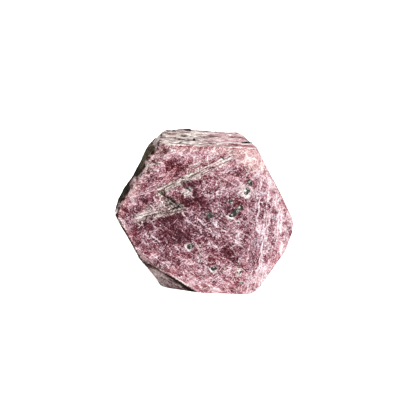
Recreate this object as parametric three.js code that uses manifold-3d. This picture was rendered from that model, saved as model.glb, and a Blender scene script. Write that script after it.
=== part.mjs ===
// A rough ruby: one tabular crystal of corundum, six-sided, standing on one of its prism faces.
//
// Millimetres, +X right, +Y back, +Z up. The crystal's c axis lies along Y, so its flat basal
// face looks along -Y. The origin is the middle of the crystal's box, on the surface below it.
//
// The tablet grew as a stack of thin plates, one behind another. Each plate has the outline of the
// whole crystal, drawn in a little, which leaves the fine ledges that run round the prism faces.
// Knocks and wear are then cut away.

import * as THREE from "three";
import { mergeVertices } from "three/addons/utils/BufferGeometryUtils.js";
import Module from "manifold-3d";

const wasm = await Module();
wasm.setup();

// ---- Driving dimensions ------------------------------------------------------------------------

const THICKNESS = 12; // front basal face to back terrace
const AXIS_HEIGHT = 14.55; // c axis above the surface that the crystal stands on
const RUBY_COLOUR = 0x9a5c6c;

// Prism faces in order round the axis: the way each one looks, as an angle from +X towards +Z, and
// its distance from the axis at the front and at the back. The tablet narrows towards its back.
const PRISM_FACES = {
  top: { angle: 90, front: 14.35, back: 14.95 },
  upperLeft: { angle: 150, front: 15.4, back: 15.0 },
  lowerLeft: { angle: 210, front: 14.7, back: 14.0 },
  base: { angle: 270, front: 15.2, back: 15.2 }, // passes below the base, which is cut off flat
  lowerRight: { angle: 330, front: 15.95, back: 14.6 },
  upperRight: { angle: 30, front: 15.05, back: 14.5 },
};

// Growth plates from front to back: how thick each one is, and how far each of its sides draws in,
// in the order of the faces above. The base is cut flat, so its own value is not used.
const GROWTH_PLATES = [
  { thickness: 1.6, drawnIn: [0, 0, 0, 0, 0, 0] },
  { thickness: 0.7, drawnIn: [0.12, 0.25, 0.15, 0, 0.3, 0.15] },
  { thickness: 1.9, drawnIn: [0.05, 0, 0.05, 0, 0.05, 0.04] },
  { thickness: 0.8, drawnIn: [0.3, 0.2, 0.25, 0, 0.3, 0.3] },
  { thickness: 1.4, drawnIn: [0.08, -0.35, 0.4, 0, 0.12, 0.08] },
  { thickness: 1.0, drawnIn: [0.2, -0.55, 0.1, 0, 0.35, 0.25] },
  { thickness: 1.7, drawnIn: [0.05, 0.25, 0.3, 0, 0, 0] },
  { thickness: 0.6, drawnIn: [0.25, 0.05, 0, 0, 0.3, 0.2] },
  { thickness: 1.2, drawnIn: [0, 0.3, 0.35, 0, 0.1, 0] },
];
const TERRACE = { drawnIn: [2.4, 1.6, 3.1, 4.2, 2.2, 3.4] }; // last, smaller plate on the back

const CORNER_RADIUS = 0.9; // worn corners of the outline
const CORNER_STEPS = 3;
const EDGE_WEAR = 0.16; // softened rim of every plate
const PLATE_OVERLAP = 0.4; // each plate reaches this far into the next, so that they are one solid

// ---- Outline -----------------------------------------------------------------------------------

const FACE_LIST = Object.values(PRISM_FACES);

/** Distance of each prism face from the axis, at a share of the way from front to back. */
function faceDistances(share, drawnIn) {
  return FACE_LIST.map((face, i) => THREE.MathUtils.lerp(face.front, face.back, share) - drawnIn[i]);
}

/** Corner where face i and the next one meet, seen along the axis. */
function cornerAfter(i, distances) {
  const next = (i + 1) % FACE_LIST.length;
  const a = THREE.MathUtils.degToRad(FACE_LIST[i].angle);
  const b = THREE.MathUtils.degToRad(FACE_LIST[next].angle);
  const turn = Math.sin(b - a);
  return new THREE.Vector2(
    (distances[i] * Math.sin(b) - distances[next] * Math.sin(a)) / turn,
    (distances[next] * Math.cos(a) - distances[i] * Math.cos(b)) / turn,
  );
}

/** Six-sided outline with worn corners, from the distances of its faces. */
function crystalOutline(distances) {
  const corners = FACE_LIST.map((_, i) => cornerAfter(i, distances));
  const shape = new THREE.Shape();
  corners.forEach((corner, i) => {
    const before = corners[(i + corners.length - 1) % corners.length];
    const after = corners[(i + 1) % corners.length];
    const enter = corner.clone().add(before.clone().sub(corner).setLength(CORNER_RADIUS));
    const leave = corner.clone().add(after.clone().sub(corner).setLength(CORNER_RADIUS));
    if (i === 0) shape.moveTo(enter.x, enter.y);
    else shape.lineTo(enter.x, enter.y);
    shape.quadraticCurveTo(corner.x, corner.y, leave.x, leave.y);
  });
  shape.closePath();
  return shape;
}

// ---- Solids ------------------------------------------------------------------------------------

/** A closed geometry as a manifold solid. */
function solidFrom(geometry) {
  geometry.deleteAttribute("normal");
  geometry.deleteAttribute("uv");
  const merged = mergeVertices(geometry, 1e-4);
  return new wasm.Manifold(
    new wasm.Mesh({
      numProp: 3,
      vertProperties: new Float32Array(merged.attributes.position.array),
      triVerts: new Uint32Array(merged.index.array),
    }),
  );
}

/** One growth plate that reaches from frontY back by its thickness, with softened rims. */
function growthPlate(frontY, thickness, distances) {
  const plate = new THREE.ExtrudeGeometry(crystalOutline(distances.map((d) => d - EDGE_WEAR)), {
    depth: thickness - 2 * EDGE_WEAR,
    curveSegments: CORNER_STEPS,
    bevelEnabled: true,
    bevelThickness: EDGE_WEAR,
    bevelSize: EDGE_WEAR,
    bevelSegments: 1,
  });
  // The outline is drawn in X and Y and extruded along Z: turn it upright, extruding to the front.
  plate.rotateX(Math.PI / 2);
  plate.translate(0, frontY + thickness - EDGE_WEAR, AXIS_HEIGHT);
  return plate;
}

/** The whole stack of plates, before any wear. */
function growCrystal() {
  let frontY = -THICKNESS / 2;
  let crystal = null;
  for (const { thickness, drawnIn } of GROWTH_PLATES) {
    const share = (frontY + thickness / 2) / THICKNESS + 0.5;
    const distances = faceDistances(share, drawnIn);
    const plate = solidFrom(growthPlate(frontY, thickness + PLATE_OVERLAP, distances));
    crystal = crystal ? crystal.add(plate) : plate;
    frontY += thickness;
  }
  const terraceThickness = THICKNESS / 2 - frontY;
  const terrace = growthPlate(frontY, terraceThickness, faceDistances(1, TERRACE.drawnIn));
  return crystal.add(solidFrom(terrace));
}

// ---- Wear --------------------------------------------------------------------------------------

const CUTTER_SIZE = 60; // larger than the crystal

/** A block that fills everything beyond a plane: through a point, looking along outward. */
function beyondPlane(point, outward) {
  const block = new THREE.BoxGeometry(CUTTER_SIZE, CUTTER_SIZE, CUTTER_SIZE);
  block.translate(0, 0, CUTTER_SIZE / 2);
  const direction = new THREE.Vector3(...outward).normalize();
  block.applyQuaternion(
    new THREE.Quaternion().setFromUnitVectors(new THREE.Vector3(0, 0, 1), direction),
  );
  block.translate(...point);
  return solidFrom(block);
}

// Worn and broken places, each a plane through a point. The axis is at X = 0.
const PLANE_CUTS = [
  { name: "flat base", point: [0, 0, 0], outward: [0, 0, -1] },
  { name: "blunt right corner", point: [16.7, -6, 13.6], outward: [1, 0.06, 0] },
  { name: "bevel of the upper left edge", point: [-12.86, -6, 21.98], outward: [-0.76, -0.48, 0.44] },
  { name: "chipped upper left corner", point: [-8.95, -6, 27.5], outward: [-0.49, -0.59, 0.64] },
  { name: "worn top of the upper left side", point: [-9.75, 3, 28.3], outward: [-0.62, 0.1, 0.78] },
  { name: "worn back of the left corner", point: [-13.3, 6, 20.9], outward: [-0.88, 0.15, 0.45] },
  { name: "worn back of the upper right corner", point: [7.3, 6, 28.4], outward: [0.5, 0.12, 0.86] },
  { name: "broken back corner, right", point: [14.6, 6, 12.0], outward: [0.8, 0.62, -0.12] },
  { name: "broken back corner, lower left", point: [-11.2, 6, 4.4], outward: [-0.6, 0.7, -0.32] },
];

// The large knock at the lower left of the basal face: a low wall along a line across the corner,
// then a floor that falls away outwards.
const KNOCK = {
  from: new THREE.Vector3(-0.7, -THICKNESS / 2, 0.05),
  to: new THREE.Vector3(-11.6, -THICKNESS / 2, 6.4),
  wallDepth: 1.1,
  wallSlope: 0.25,
  floorDepth: 3.5, // at floorReach from the line
  floorReach: 3.75,
};

// A three-sided growth pit in the basal face: deepest along its wall, rising to its apex.
const GROWTH_PIT = {
  from: new THREE.Vector3(-4.25, -THICKNESS / 2, 16.75),
  to: new THREE.Vector3(-9.55, -THICKNESS / 2, 19.8),
  apexAlong: 4.9,
  apexAway: 2.2,
  depth: 0.4,
};

/** Directions for a line drawn on the basal face: along it, away from it, and out of the face. */
function directionsAt({ from, to }) {
  const along = to.clone().sub(from).normalize();
  const towardsFront = new THREE.Vector3(0, -1, 0);
  const away = new THREE.Vector3().crossVectors(towardsFront, along);
  return { along, away, towardsFront };
}

/** The block that the knock removes: its profile, swept along the line. */
function knockCutter() {
  const { along, away, towardsFront } = directionsAt(KNOCK);
  const margin = 8; // past both ends of the line, and past the outside of the crystal
  const fall = (KNOCK.floorDepth - KNOCK.wallDepth) / (KNOCK.floorReach - KNOCK.wallSlope);
  const reach = KNOCK.floorReach + margin;
  // Drawn with X away from the line and Y out of the face.
  const profile = new THREE.Shape()
    .moveTo(0, margin)
    .lineTo(0, 0)
    .lineTo(KNOCK.wallSlope, -KNOCK.wallDepth)
    .lineTo(reach, -KNOCK.wallDepth - fall * (reach - KNOCK.wallSlope))
    .lineTo(reach, margin)
    .closePath();
  const depth = KNOCK.from.distanceTo(KNOCK.to) + 2 * margin;
  const cutter = new THREE.ExtrudeGeometry(profile, { depth, bevelEnabled: false });
  cutter.translate(0, 0, -margin);
  cutter.applyMatrix4(new THREE.Matrix4().makeBasis(away, towardsFront, along));
  cutter.translate(KNOCK.from.x, KNOCK.from.y, KNOCK.from.z);
  return solidFrom(cutter);
}

/** The wedge that the growth pit removes. */
function pitCutter() {
  const { along, away, towardsFront } = directionsAt(GROWTH_PIT);
  const outline = new THREE.Shape()
    .moveTo(0, 0)
    .lineTo(GROWTH_PIT.from.distanceTo(GROWTH_PIT.to), 0)
    .lineTo(GROWTH_PIT.apexAlong, GROWTH_PIT.apexAway)
    .closePath();
  const cutter = new THREE.ExtrudeGeometry(outline, { depth: 3, bevelEnabled: false });
  cutter.rotateX(Math.atan(GROWTH_PIT.depth / GROWTH_PIT.apexAway));
  cutter.translate(0, 0, -GROWTH_PIT.depth);
  cutter.applyMatrix4(new THREE.Matrix4().makeBasis(along, away, towardsFront));
  cutter.translate(GROWTH_PIT.from.x, GROWTH_PIT.from.y, GROWTH_PIT.from.z);
  return solidFrom(cutter);
}

/** The finished crystal: grown, then knocked and worn. */
function wornCrystal() {
  let crystal = growCrystal();
  for (const { point, outward } of PLANE_CUTS) crystal = crystal.subtract(beyondPlane(point, outward));
  return crystal.subtract(knockCutter()).subtract(pitCutter());
}

// ---- Node --------------------------------------------------------------------------------------

/** A manifold solid as a geometry, with the middle of its box over the origin. */
function centredGeometry(solid) {
  const mesh = solid.getMesh();
  const geometry = new THREE.BufferGeometry();
  geometry.setAttribute("position", new THREE.BufferAttribute(mesh.vertProperties, 3));
  geometry.setIndex(new THREE.BufferAttribute(mesh.triVerts, 1));
  geometry.computeBoundingBox();
  const middle = geometry.boundingBox.getCenter(new THREE.Vector3());
  geometry.translate(-middle.x, -middle.y, 0);
  geometry.computeVertexNormals();
  return geometry;
}

const crystal = new THREE.Mesh(
  centredGeometry(wornCrystal()),
  new THREE.MeshStandardMaterial({ color: RUBY_COLOUR, roughness: 0.45, metalness: 0 }),
);
crystal.name = "ruby_crystal";

const ruby = new THREE.Group();
ruby.add(crystal);

export default ruby;
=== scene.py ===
"""A rough ruby: one opaque, six-sided tablet of corundum that stands on one of its prism faces.

Lengths are millimetres in the dataclasses below and metres in Blender. The frame is the CAD's: +X
right, +Y back, +Z up, the origin on the floor under the middle of the crystal. The basal face is at
Y = -6 and looks along -Y.
"""

import itertools
import logging
import math
from contextlib import contextmanager
from dataclasses import dataclass, field
from enum import Enum
from typing import Iterator, Protocol, Sequence

import bpy
import numpy as np
from mathutils import Matrix, Vector


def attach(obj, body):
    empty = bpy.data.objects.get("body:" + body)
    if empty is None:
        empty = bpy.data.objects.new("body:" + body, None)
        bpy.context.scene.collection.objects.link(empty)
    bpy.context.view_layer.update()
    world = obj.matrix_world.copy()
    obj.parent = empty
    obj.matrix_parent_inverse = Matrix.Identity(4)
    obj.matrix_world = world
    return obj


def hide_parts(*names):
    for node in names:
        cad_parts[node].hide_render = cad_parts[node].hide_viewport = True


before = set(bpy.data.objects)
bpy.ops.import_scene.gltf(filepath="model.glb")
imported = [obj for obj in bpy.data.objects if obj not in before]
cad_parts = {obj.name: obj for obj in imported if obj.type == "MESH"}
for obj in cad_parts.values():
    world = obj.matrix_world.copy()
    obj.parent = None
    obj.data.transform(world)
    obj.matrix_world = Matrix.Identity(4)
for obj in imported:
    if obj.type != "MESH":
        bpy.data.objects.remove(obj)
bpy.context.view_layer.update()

log = logging.getLogger("ruby")

MM = 0.001
FRONT_Y = -6.0
VIEW_AZIMUTH, VIEW_ELEVATION, VIEW_ROLL = -5.0, 16.5, 3.8
VIEW_DISTANCE, VIEW_LENS, VIEW_SENSOR = 280.0, 125.0, 36.0
BACK_Y = 6.0
TOP_Z = 30.0  # Nothing stands higher.
CLEAR = 2.0  # How far outside the stone a search for its surface starts.
AXIS_X = 0.18
AXIS_Z = 14.55
SKIN = 0.2  # The blank stands this much proud, for the edges that the remesh rounds off.

# How the small crystals of the basal face lie, in degrees from +X towards +Z.
RISING_ANGLE = 29.0
FALLING_ANGLE = -38.0
STANDING_ANGLE = 91.0

Socket = bpy.types.NodeSocket
Rgb = tuple[float, float, float]
Point2 = tuple[float, float]
Stops = tuple[tuple[float, Rgb], ...]
Period = float | Sequence[float]

WORD = 0xFFFFFFFF  # The largest 32-bit number, for the lattice noise.
FAR = 99.0  # Farther than anything that is measured.


def linear(red: int, green: int, blue: int) -> Rgb:
    """Turn a colour of 0 to 255 per channel, as on a screen, into linear light.

    Args:
        red: Red channel.
        green: Green channel.
        blue: Blue channel.

    Returns:
        The three linear channels.
    """

    def one(channel: float) -> float:
        """Turn one channel of 0 to 1 into linear light."""
        return channel / 12.92 if channel <= 0.04045 else ((channel + 0.055) / 1.055) ** 2.4

    return (one(red / 255), one(green / 255), one(blue / 255))


def smooth_step(low: float | np.ndarray, high: float | np.ndarray, value: np.ndarray) -> np.ndarray:
    """Rise smoothly from 0 at low to 1 at high.

    Args:
        low: What gives 0, for all the values or for each.
        high: What gives 1, in the same way; it may be below low.
        value: The values to turn into shares.

    Returns:
        A share from 0 to 1 for each value.
    """
    share = np.clip((value - low) / (high - low), 0.0, 1.0)
    return share * share * (3.0 - 2.0 * share)


def bulge(value: np.ndarray, centre: float, half: float) -> np.ndarray:
    """Rise like a bell to 1 at the centre, and fall to about a third at a half spread from it."""
    return np.exp(-(((value - centre) / half) ** 2))


def turned(x: np.ndarray, z: np.ndarray, angle: float) -> tuple[np.ndarray, np.ndarray]:
    """Measure places along a direction in the XZ plane, and across it.

    Args:
        x: How far right each place is.
        z: How far up each place is.
        angle: The direction in degrees, from +X towards +Z.

    Returns:
        How far along the direction each place lies, and how far across it.
    """
    turn = math.radians(angle)
    return x * math.cos(turn) + z * math.sin(turn), -x * math.sin(turn) + z * math.cos(turn)


def from_line(points: np.ndarray, start: Point2, end: Point2) -> tuple[np.ndarray, np.ndarray, float]:
    """Measure places along a line in the XZ plane, and away from it.

    Args:
        points: N by 3 places in millimetres.
        start: Where the line starts, as X and Z.
        end: Where it ends.

    Returns:
        How far along the line each place lies, how far away from it, and the line's length.
    """
    origin, tip = np.array(start), np.array(end)
    length = float(np.linalg.norm(tip - origin))
    way = (tip - origin) / length
    offset = points[:, [0, 2]] - origin
    return offset @ way, offset @ np.array([-way[1], way[0]]), length


class Grit:
    """Seeded lattice noise, the same on every run. A salt only tells one pattern from another."""

    def __init__(self, seed: int) -> None:
        """Keep the seed that all of this grit's patterns start from."""
        self.seed = seed

    def _corner(self, x: np.ndarray, y: np.ndarray, z: np.ndarray, salt: int) -> np.ndarray:
        """Give each lattice corner a fixed number.

        Args:
            x: The corners' first lattice number.
            y: Their second.
            z: Their third.
            salt: Picks a separate pattern.

        Returns:
            N values from -1 to 1.
        """
        mixed = (x * 73856093) ^ (y * 19349663) ^ (z * 83492791) ^ ((self.seed * 7919 + salt) * 2654435)
        mixed = (mixed & WORD).astype(np.uint64)
        for shift, factor in ((13, 1274126177), (16, 2246822519)):
            mixed = ((mixed ^ (mixed >> np.uint64(shift))) * np.uint64(factor)) & np.uint64(WORD)
        return (mixed ^ (mixed >> np.uint64(15))).astype(np.float64) / WORD * 2.0 - 1.0

    def noise(self, points: np.ndarray, period: Period, salt: int = 0) -> np.ndarray:
        """Sample smooth noise.

        Args:
            points: An N by 3 array of places.
            period: Size of one lump, or one size per axis.
            salt: Picks a separate pattern.

        Returns:
            N values from -1 to 1.
        """
        scaled = points / np.asarray(period, float)
        base = np.floor(scaled)
        inside = scaled - base
        blend = inside * inside * inside * (inside * (inside * 6.0 - 15.0) + 10.0)
        cell = base.astype(np.int64)
        total = np.zeros(len(points))
        for corner in range(8):
            step = np.array([corner & 1, (corner >> 1) & 1, (corner >> 2) & 1])
            weight = np.prod(np.where(step, blend, 1.0 - blend), axis=1)
            x, y, z = (cell + step).T
            total += weight * self._corner(x, y, z, salt)
        return total

    def layered(self, points: np.ndarray, period: Period, layers: int, salt: int = 0) -> np.ndarray:
        """Add up noise whose lumps halve in size and strength from layer to layer.

        Args:
            points: An N by 3 array of places.
            period: Size of the largest lumps.
            layers: How many sizes to add.
            salt: Picks a separate pattern.

        Returns:
            N values, mostly from -1 to 1.
        """
        total = np.zeros(len(points))
        size, weight = np.asarray(period, float), 1.0
        for layer in range(layers):
            total += weight * self.noise(points, size, salt + 17 * layer)
            size, weight = size / 2.03, weight / 2
        return total / (2.0 - 2.0 ** (1 - layers))

    def cells(self, places: np.ndarray, size: float, salt: int = 0) -> tuple[np.ndarray, np.ndarray]:
        """Split a plane into irregular cells.

        Args:
            places: An N by 2 array of places.
            size: Mean width of a cell.
            salt: Picks a separate pattern.

        Returns:
            The distance from each place to its cell's border, and a number from -1 to 1 for the cell.
        """
        scaled = places / size
        base = np.floor(scaled).astype(np.int64)
        count = len(places)
        first, second = np.full(count, FAR), np.full(count, FAR)
        first_at, second_at = np.zeros((count, 2)), np.zeros((count, 2))
        value = np.zeros(count)
        for step_x, step_z in itertools.product((-1, 0, 1), repeat=2):
            x, z = base[:, 0] + step_x, base[:, 1] + step_z
            shift_x, shift_z, number = (self._corner(x, np.full_like(x, row), z, salt) for row in (0, 1, 2))
            seed_at = np.stack([x, z], axis=1) + 0.5 + 0.46 * np.stack([shift_x, shift_z], axis=1)
            away = np.sum((scaled - seed_at) ** 2, axis=1)
            nearer, next_best = away < first, (away >= first) & (away < second)
            second = np.where(nearer, first, np.where(next_best, away, second))
            second_at = np.where(next_best[:, None], seed_at, second_at)
            second_at = np.where(nearer[:, None], first_at, second_at)
            first = np.where(nearer, away, first)
            first_at = np.where(nearer[:, None], seed_at, first_at)
            value = np.where(nearer, number, value)
        gap = np.linalg.norm(second_at - first_at, axis=1)
        return (second - first) / (2.0 * gap) * size, value


# ---- Edit-mode modelling -------------------------------------------------------------------------


class Bench:
    """The few hand operations that the pieces are made with."""

    @staticmethod
    def clear_selection() -> None:
        """Deselect every object."""
        bpy.ops.object.select_all(action="DESELECT")

    @staticmethod
    def take(piece: bpy.types.Object) -> None:
        """Make a piece the only selected object, and the active one."""
        Bench.clear_selection()
        piece.select_set(True)
        bpy.context.view_layer.objects.active = piece

    @staticmethod
    @contextmanager
    def editing(piece: bpy.types.Object, whole: bool = True) -> Iterator[None]:
        """Edit a piece, and leave edit mode afterwards.

        Args:
            piece: The object to edit.
            whole: Whether all of its mesh is selected first.

        Yields:
            Nothing, while edit mode is on.
        """
        Bench.take(piece)
        bpy.ops.object.mode_set(mode="EDIT")
        if whole:
            bpy.ops.mesh.select_all(action="SELECT")
        try:
            yield
        finally:
            bpy.ops.object.mode_set(mode="OBJECT")

    @staticmethod
    def settle(piece: bpy.types.Object) -> None:
        """Put a piece's place, turn and size into its mesh."""
        Bench.take(piece)
        bpy.ops.object.transform_apply(location=True, rotation=True, scale=True)

    @staticmethod
    def vectors(elements: bpy.types.bpy_prop_collection, name: str) -> np.ndarray:
        """Read a vector of each vertex or face.

        Args:
            elements: A mesh's vertices or polygons.
            name: Which of their vectors, such as co or normal.

        Returns:
            An N by 3 array.
        """
        flat = np.zeros(len(elements) * 3)
        elements.foreach_get(name, flat)
        return flat.reshape(-1, 3)

    @staticmethod
    def places(piece: bpy.types.Object) -> np.ndarray:
        """Read a piece's vertices as an N by 3 array in millimetres."""
        return Bench.vectors(piece.data.vertices, "co") / MM

    @staticmethod
    def put(piece: bpy.types.Object, places: np.ndarray) -> None:
        """Move a piece's vertices to these places in millimetres."""
        piece.data.vertices.foreach_set("co", (places * MM).ravel())
        piece.data.update()

    @staticmethod
    def store(piece: bpy.types.Object, name: str, values: np.ndarray) -> None:
        """Keep one number per vertex on a piece's mesh, for its finish to read."""
        attribute = piece.data.attributes.new(name, "FLOAT", "POINT")
        attribute.data.foreach_set("value", values.astype(np.float32))

    @staticmethod
    def select_faces(piece: bpy.types.Object, chosen: np.ndarray) -> None:
        """Select some faces of a piece and nothing else, from object mode.

        Args:
            piece: The object.
            chosen: For each face, whether it is selected.
        """
        mesh = piece.data
        mesh.vertices.foreach_set("select", np.zeros(len(mesh.vertices), bool))
        mesh.edges.foreach_set("select", np.zeros(len(mesh.edges), bool))
        mesh.polygons.foreach_set("select", chosen.astype(bool))
        mesh.update()

    @staticmethod
    def slice_off(piece: bpy.types.Object, through: Vector, outward: Vector) -> None:
        """Cut away all that lies beyond a plane, and close the cut.

        Args:
            piece: The object to cut.
            through: A point of the plane, in metres.
            outward: The way the cut face looks.
        """
        with Bench.editing(piece):
            bpy.ops.mesh.bisect(
                plane_co=through, plane_no=outward, use_fill=True, clear_outer=True, threshold=1e-7
            )

    @staticmethod
    def apply_modifier(piece: bpy.types.Object, name: str, kind: str, **settings: object) -> None:
        """Add a modifier, set it and apply it.

        Args:
            piece: The object that gets it.
            name: The modifier's name.
            kind: Blender's name for its type.
            settings: The modifier's own settings.
        """
        Bench.take(piece)
        modifier = piece.modifiers.new(name, kind)
        for key, value in settings.items():
            setattr(modifier, key, value)
        bpy.ops.object.modifier_apply(modifier=modifier.name)


# ---- The crystal's shape -------------------------------------------------------------------------


@dataclass(frozen=True)
class Facet:
    """A flat face round the c axis, given by its distance from the axis at two depths."""

    name: str
    angle: float
    near: Point2
    far: Point2

    def radial(self) -> np.ndarray:
        """The way the face looks, across the axis."""
        turn = math.radians(self.angle)
        return np.array([math.cos(turn), 0.0, math.sin(turn)])

    def plane(self) -> tuple[Vector, Vector]:
        """Find the plane that cuts this face on the blank.

        Returns:
            A point of the plane in metres, and its outward direction.
        """
        radial = self.radial()
        (near_y, near_out), (far_y, far_out) = self.near, self.far
        outward = radial * (far_y - near_y) - np.array([0.0, far_out - near_out, 0.0])
        point = np.array([AXIS_X, near_y, AXIS_Z]) + radial * (near_out + SKIN)
        return Vector(point * MM), Vector(outward).normalized()

    def inside(self, points: np.ndarray) -> np.ndarray:
        """How far each point lies behind the face's line on the basal face."""
        radial = self.radial()
        return self.near[1] - ((points[:, 0] - AXIS_X) * radial[0] + (points[:, 2] - AXIS_Z) * radial[2])


TOP = Facet("top", 90, (FRONT_Y, 14.42), (BACK_Y, 14.92))
UPPER_LEFT = Facet("upper left, front half", 150, (FRONT_Y, 15.3), (1.5, 15.78))
LOWER_LEFT = Facet("lower left", 210, (FRONT_Y, 14.55), (BACK_Y, 13.85))
LOWER_RIGHT = Facet("lower right", 330, (FRONT_Y, 16.25), (BACK_Y, 14.6))
UPPER_RIGHT = Facet("upper right", 30, (FRONT_Y, 14.85), (BACK_Y, 14.4))
PRISM_FACES = (TOP, UPPER_LEFT, LOWER_LEFT, LOWER_RIGHT, UPPER_RIGHT)
WORN_FACES = (
    Facet("upper left, back half", 152, (1.5, 15.7), (BACK_Y, 14.75)),
    Facet("bevel of the upper left edge", 150, (FRONT_Y, 14.85), (-5.0, 15.4)),
    Facet("blunt right corner", 0, (FRONT_Y, 16.7), (BACK_Y, 16.0)),
    Facet("right corner, above", 15, (FRONT_Y, 16.2), (BACK_Y, 15.6)),
    Facet("right corner, below", 345, (FRONT_Y, 16.5), (BACK_Y, 15.6)),
    Facet("lower left, low part", 217.4, (FRONT_Y, 14.5), (BACK_Y, 13.8)),
    Facet("corner under the knock", 238, (FRONT_Y, 15.9), (BACK_Y, 15.1)),
    Facet("lower right corner", 300, (FRONT_Y, 17.15), (BACK_Y, 16.4)),
    Facet("lower right corner, right", 316, (FRONT_Y, 17.1), (BACK_Y, 16.0)),
    Facet("lower left corner", 240, (FRONT_Y, 16.4), (BACK_Y, 15.6)),
    Facet("lower right corner, below", 284, (FRONT_Y, 16.55), (BACK_Y, 16.2)),
    Facet("worn top of the upper left side", 128.5, (FRONT_Y, 17.65), (BACK_Y, 16.45)),
    Facet("top of the left corner", 176, (FRONT_Y, 17.0), (BACK_Y, 16.35)),
    Facet("back of the left corner", 153.5, (FRONT_Y, 16.6), (BACK_Y, 14.55)),
    Facet("back of the upper right corner", 60, (FRONT_Y, 17.0), (BACK_Y, 15.55)),
    Facet("right edge of the upper right corner", 44, (FRONT_Y, 16.4), (BACK_Y, 15.35)),
)
SKEW_CUTS = (
    # A name, a point, and the way the cut face looks. X is measured from the axis.
    ("chipped upper left corner", (-8.95, -6.0, 27.55), (-0.49, -0.59, 0.64)),
    ("broken back corner, right", (14.6, 6.0, 12.0), (0.8, 0.62, -0.12)),
    ("broken back corner, lower left", (-11.2, 6.0, 4.4), (-0.6, 0.7, -0.32)),
    ("worn back of the top", (2.0, 6.0, 28.6), (0.15, 0.75, 0.65)),
    ("worn front edge of the top", (0.0, -6.0, 28.62), (0.0, -0.64, 0.77)),
)


@dataclass
class Knock:
    """The knock at the lower left of the basal face: a low wall, then a floor that falls away."""

    start: Point2 = (-0.52, 0.05)
    end: Point2 = (-11.42, 6.1)
    wall_depth: float = 0.72
    floor_fall: float = 0.45
    floor_curve: float = 0.06
    length: float = 22.0
    reach: float = 14.0
    height: float = 8.0
    cuts: int = 30

    def directions(self) -> tuple[np.ndarray, np.ndarray]:
        """The way along the wall, and the way out from it over the floor."""
        along = np.array([self.end[0] - self.start[0], 0.0, self.end[1] - self.start[1]])
        along /= np.linalg.norm(along)
        return along, np.cross(np.array([0.0, -1.0, 0.0]), along)

    def _offset(self, points: np.ndarray) -> np.ndarray:
        """Each point, measured from the wall's lower end."""
        return points - np.array([self.start[0], 0.0, self.start[1]])

    def beyond(self, points: np.ndarray) -> np.ndarray:
        """How far each point lies out past the wall's line."""
        return self._offset(points) @ self.directions()[1]

    def along(self, points: np.ndarray) -> np.ndarray:
        """How far each point lies along the wall, from its lower end."""
        return self._offset(points) @ self.directions()[0]

    def cutter(self, grit: Grit) -> bpy.types.Object:
        """Make the block that the knock removes.

        Args:
            grit: The noise that roughens its faces.

        Returns:
            A closed object, placed where it cuts.
        """
        along, away = self.directions()
        middle = np.array([self.start[0] + self.end[0], 0.0, self.start[1] + self.end[1]]) / 2
        centre = middle + away * self.reach / 2
        Bench.clear_selection()
        bpy.ops.mesh.primitive_cube_add(size=1.0)
        block = bpy.context.active_object
        block.name = "knock_cutter"
        # The block's own X runs out from the wall, its Y into the crystal and its Z along the wall.
        block.scale = (self.reach * MM, self.height * MM, self.length * MM)
        Bench.settle(block)
        with Bench.editing(block):
            bpy.ops.mesh.subdivide(number_cuts=self.cuts)
        places = Bench.places(block)
        out = places[:, 0] + self.reach / 2
        floor = places[:, 1] > 0.2
        places[:, 1] += np.where(floor, self.floor_fall * out + self.floor_curve * out**2, 0.0)
        # A shell-shaped break: long shallow waves across the floor.
        wave = 0.10 * np.sin(out * 2.1 + 0.06 * places[:, 2] ** 2) + 0.22 * grit.layered(places, 3.5, 3, 5)
        places[:, 1] += np.where(floor, wave * np.clip(out / 1.5, 0.2, 1.0) - 0.012 * places[:, 2] ** 2, 0.0)
        places[:, 0] += 0.22 * grit.layered(places, 2.2, 3, 9) * (out < 0.5)
        Bench.put(block, places)
        turn = Matrix((tuple(away), (0.0, 1.0, 0.0), tuple(-along))).transposed().to_4x4()
        at = Vector((centre[0], FRONT_Y + self.wall_depth - self.height / 2, centre[2]))
        block.matrix_world = Matrix.Translation(at * MM) @ turn
        Bench.settle(block)
        return block


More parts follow.
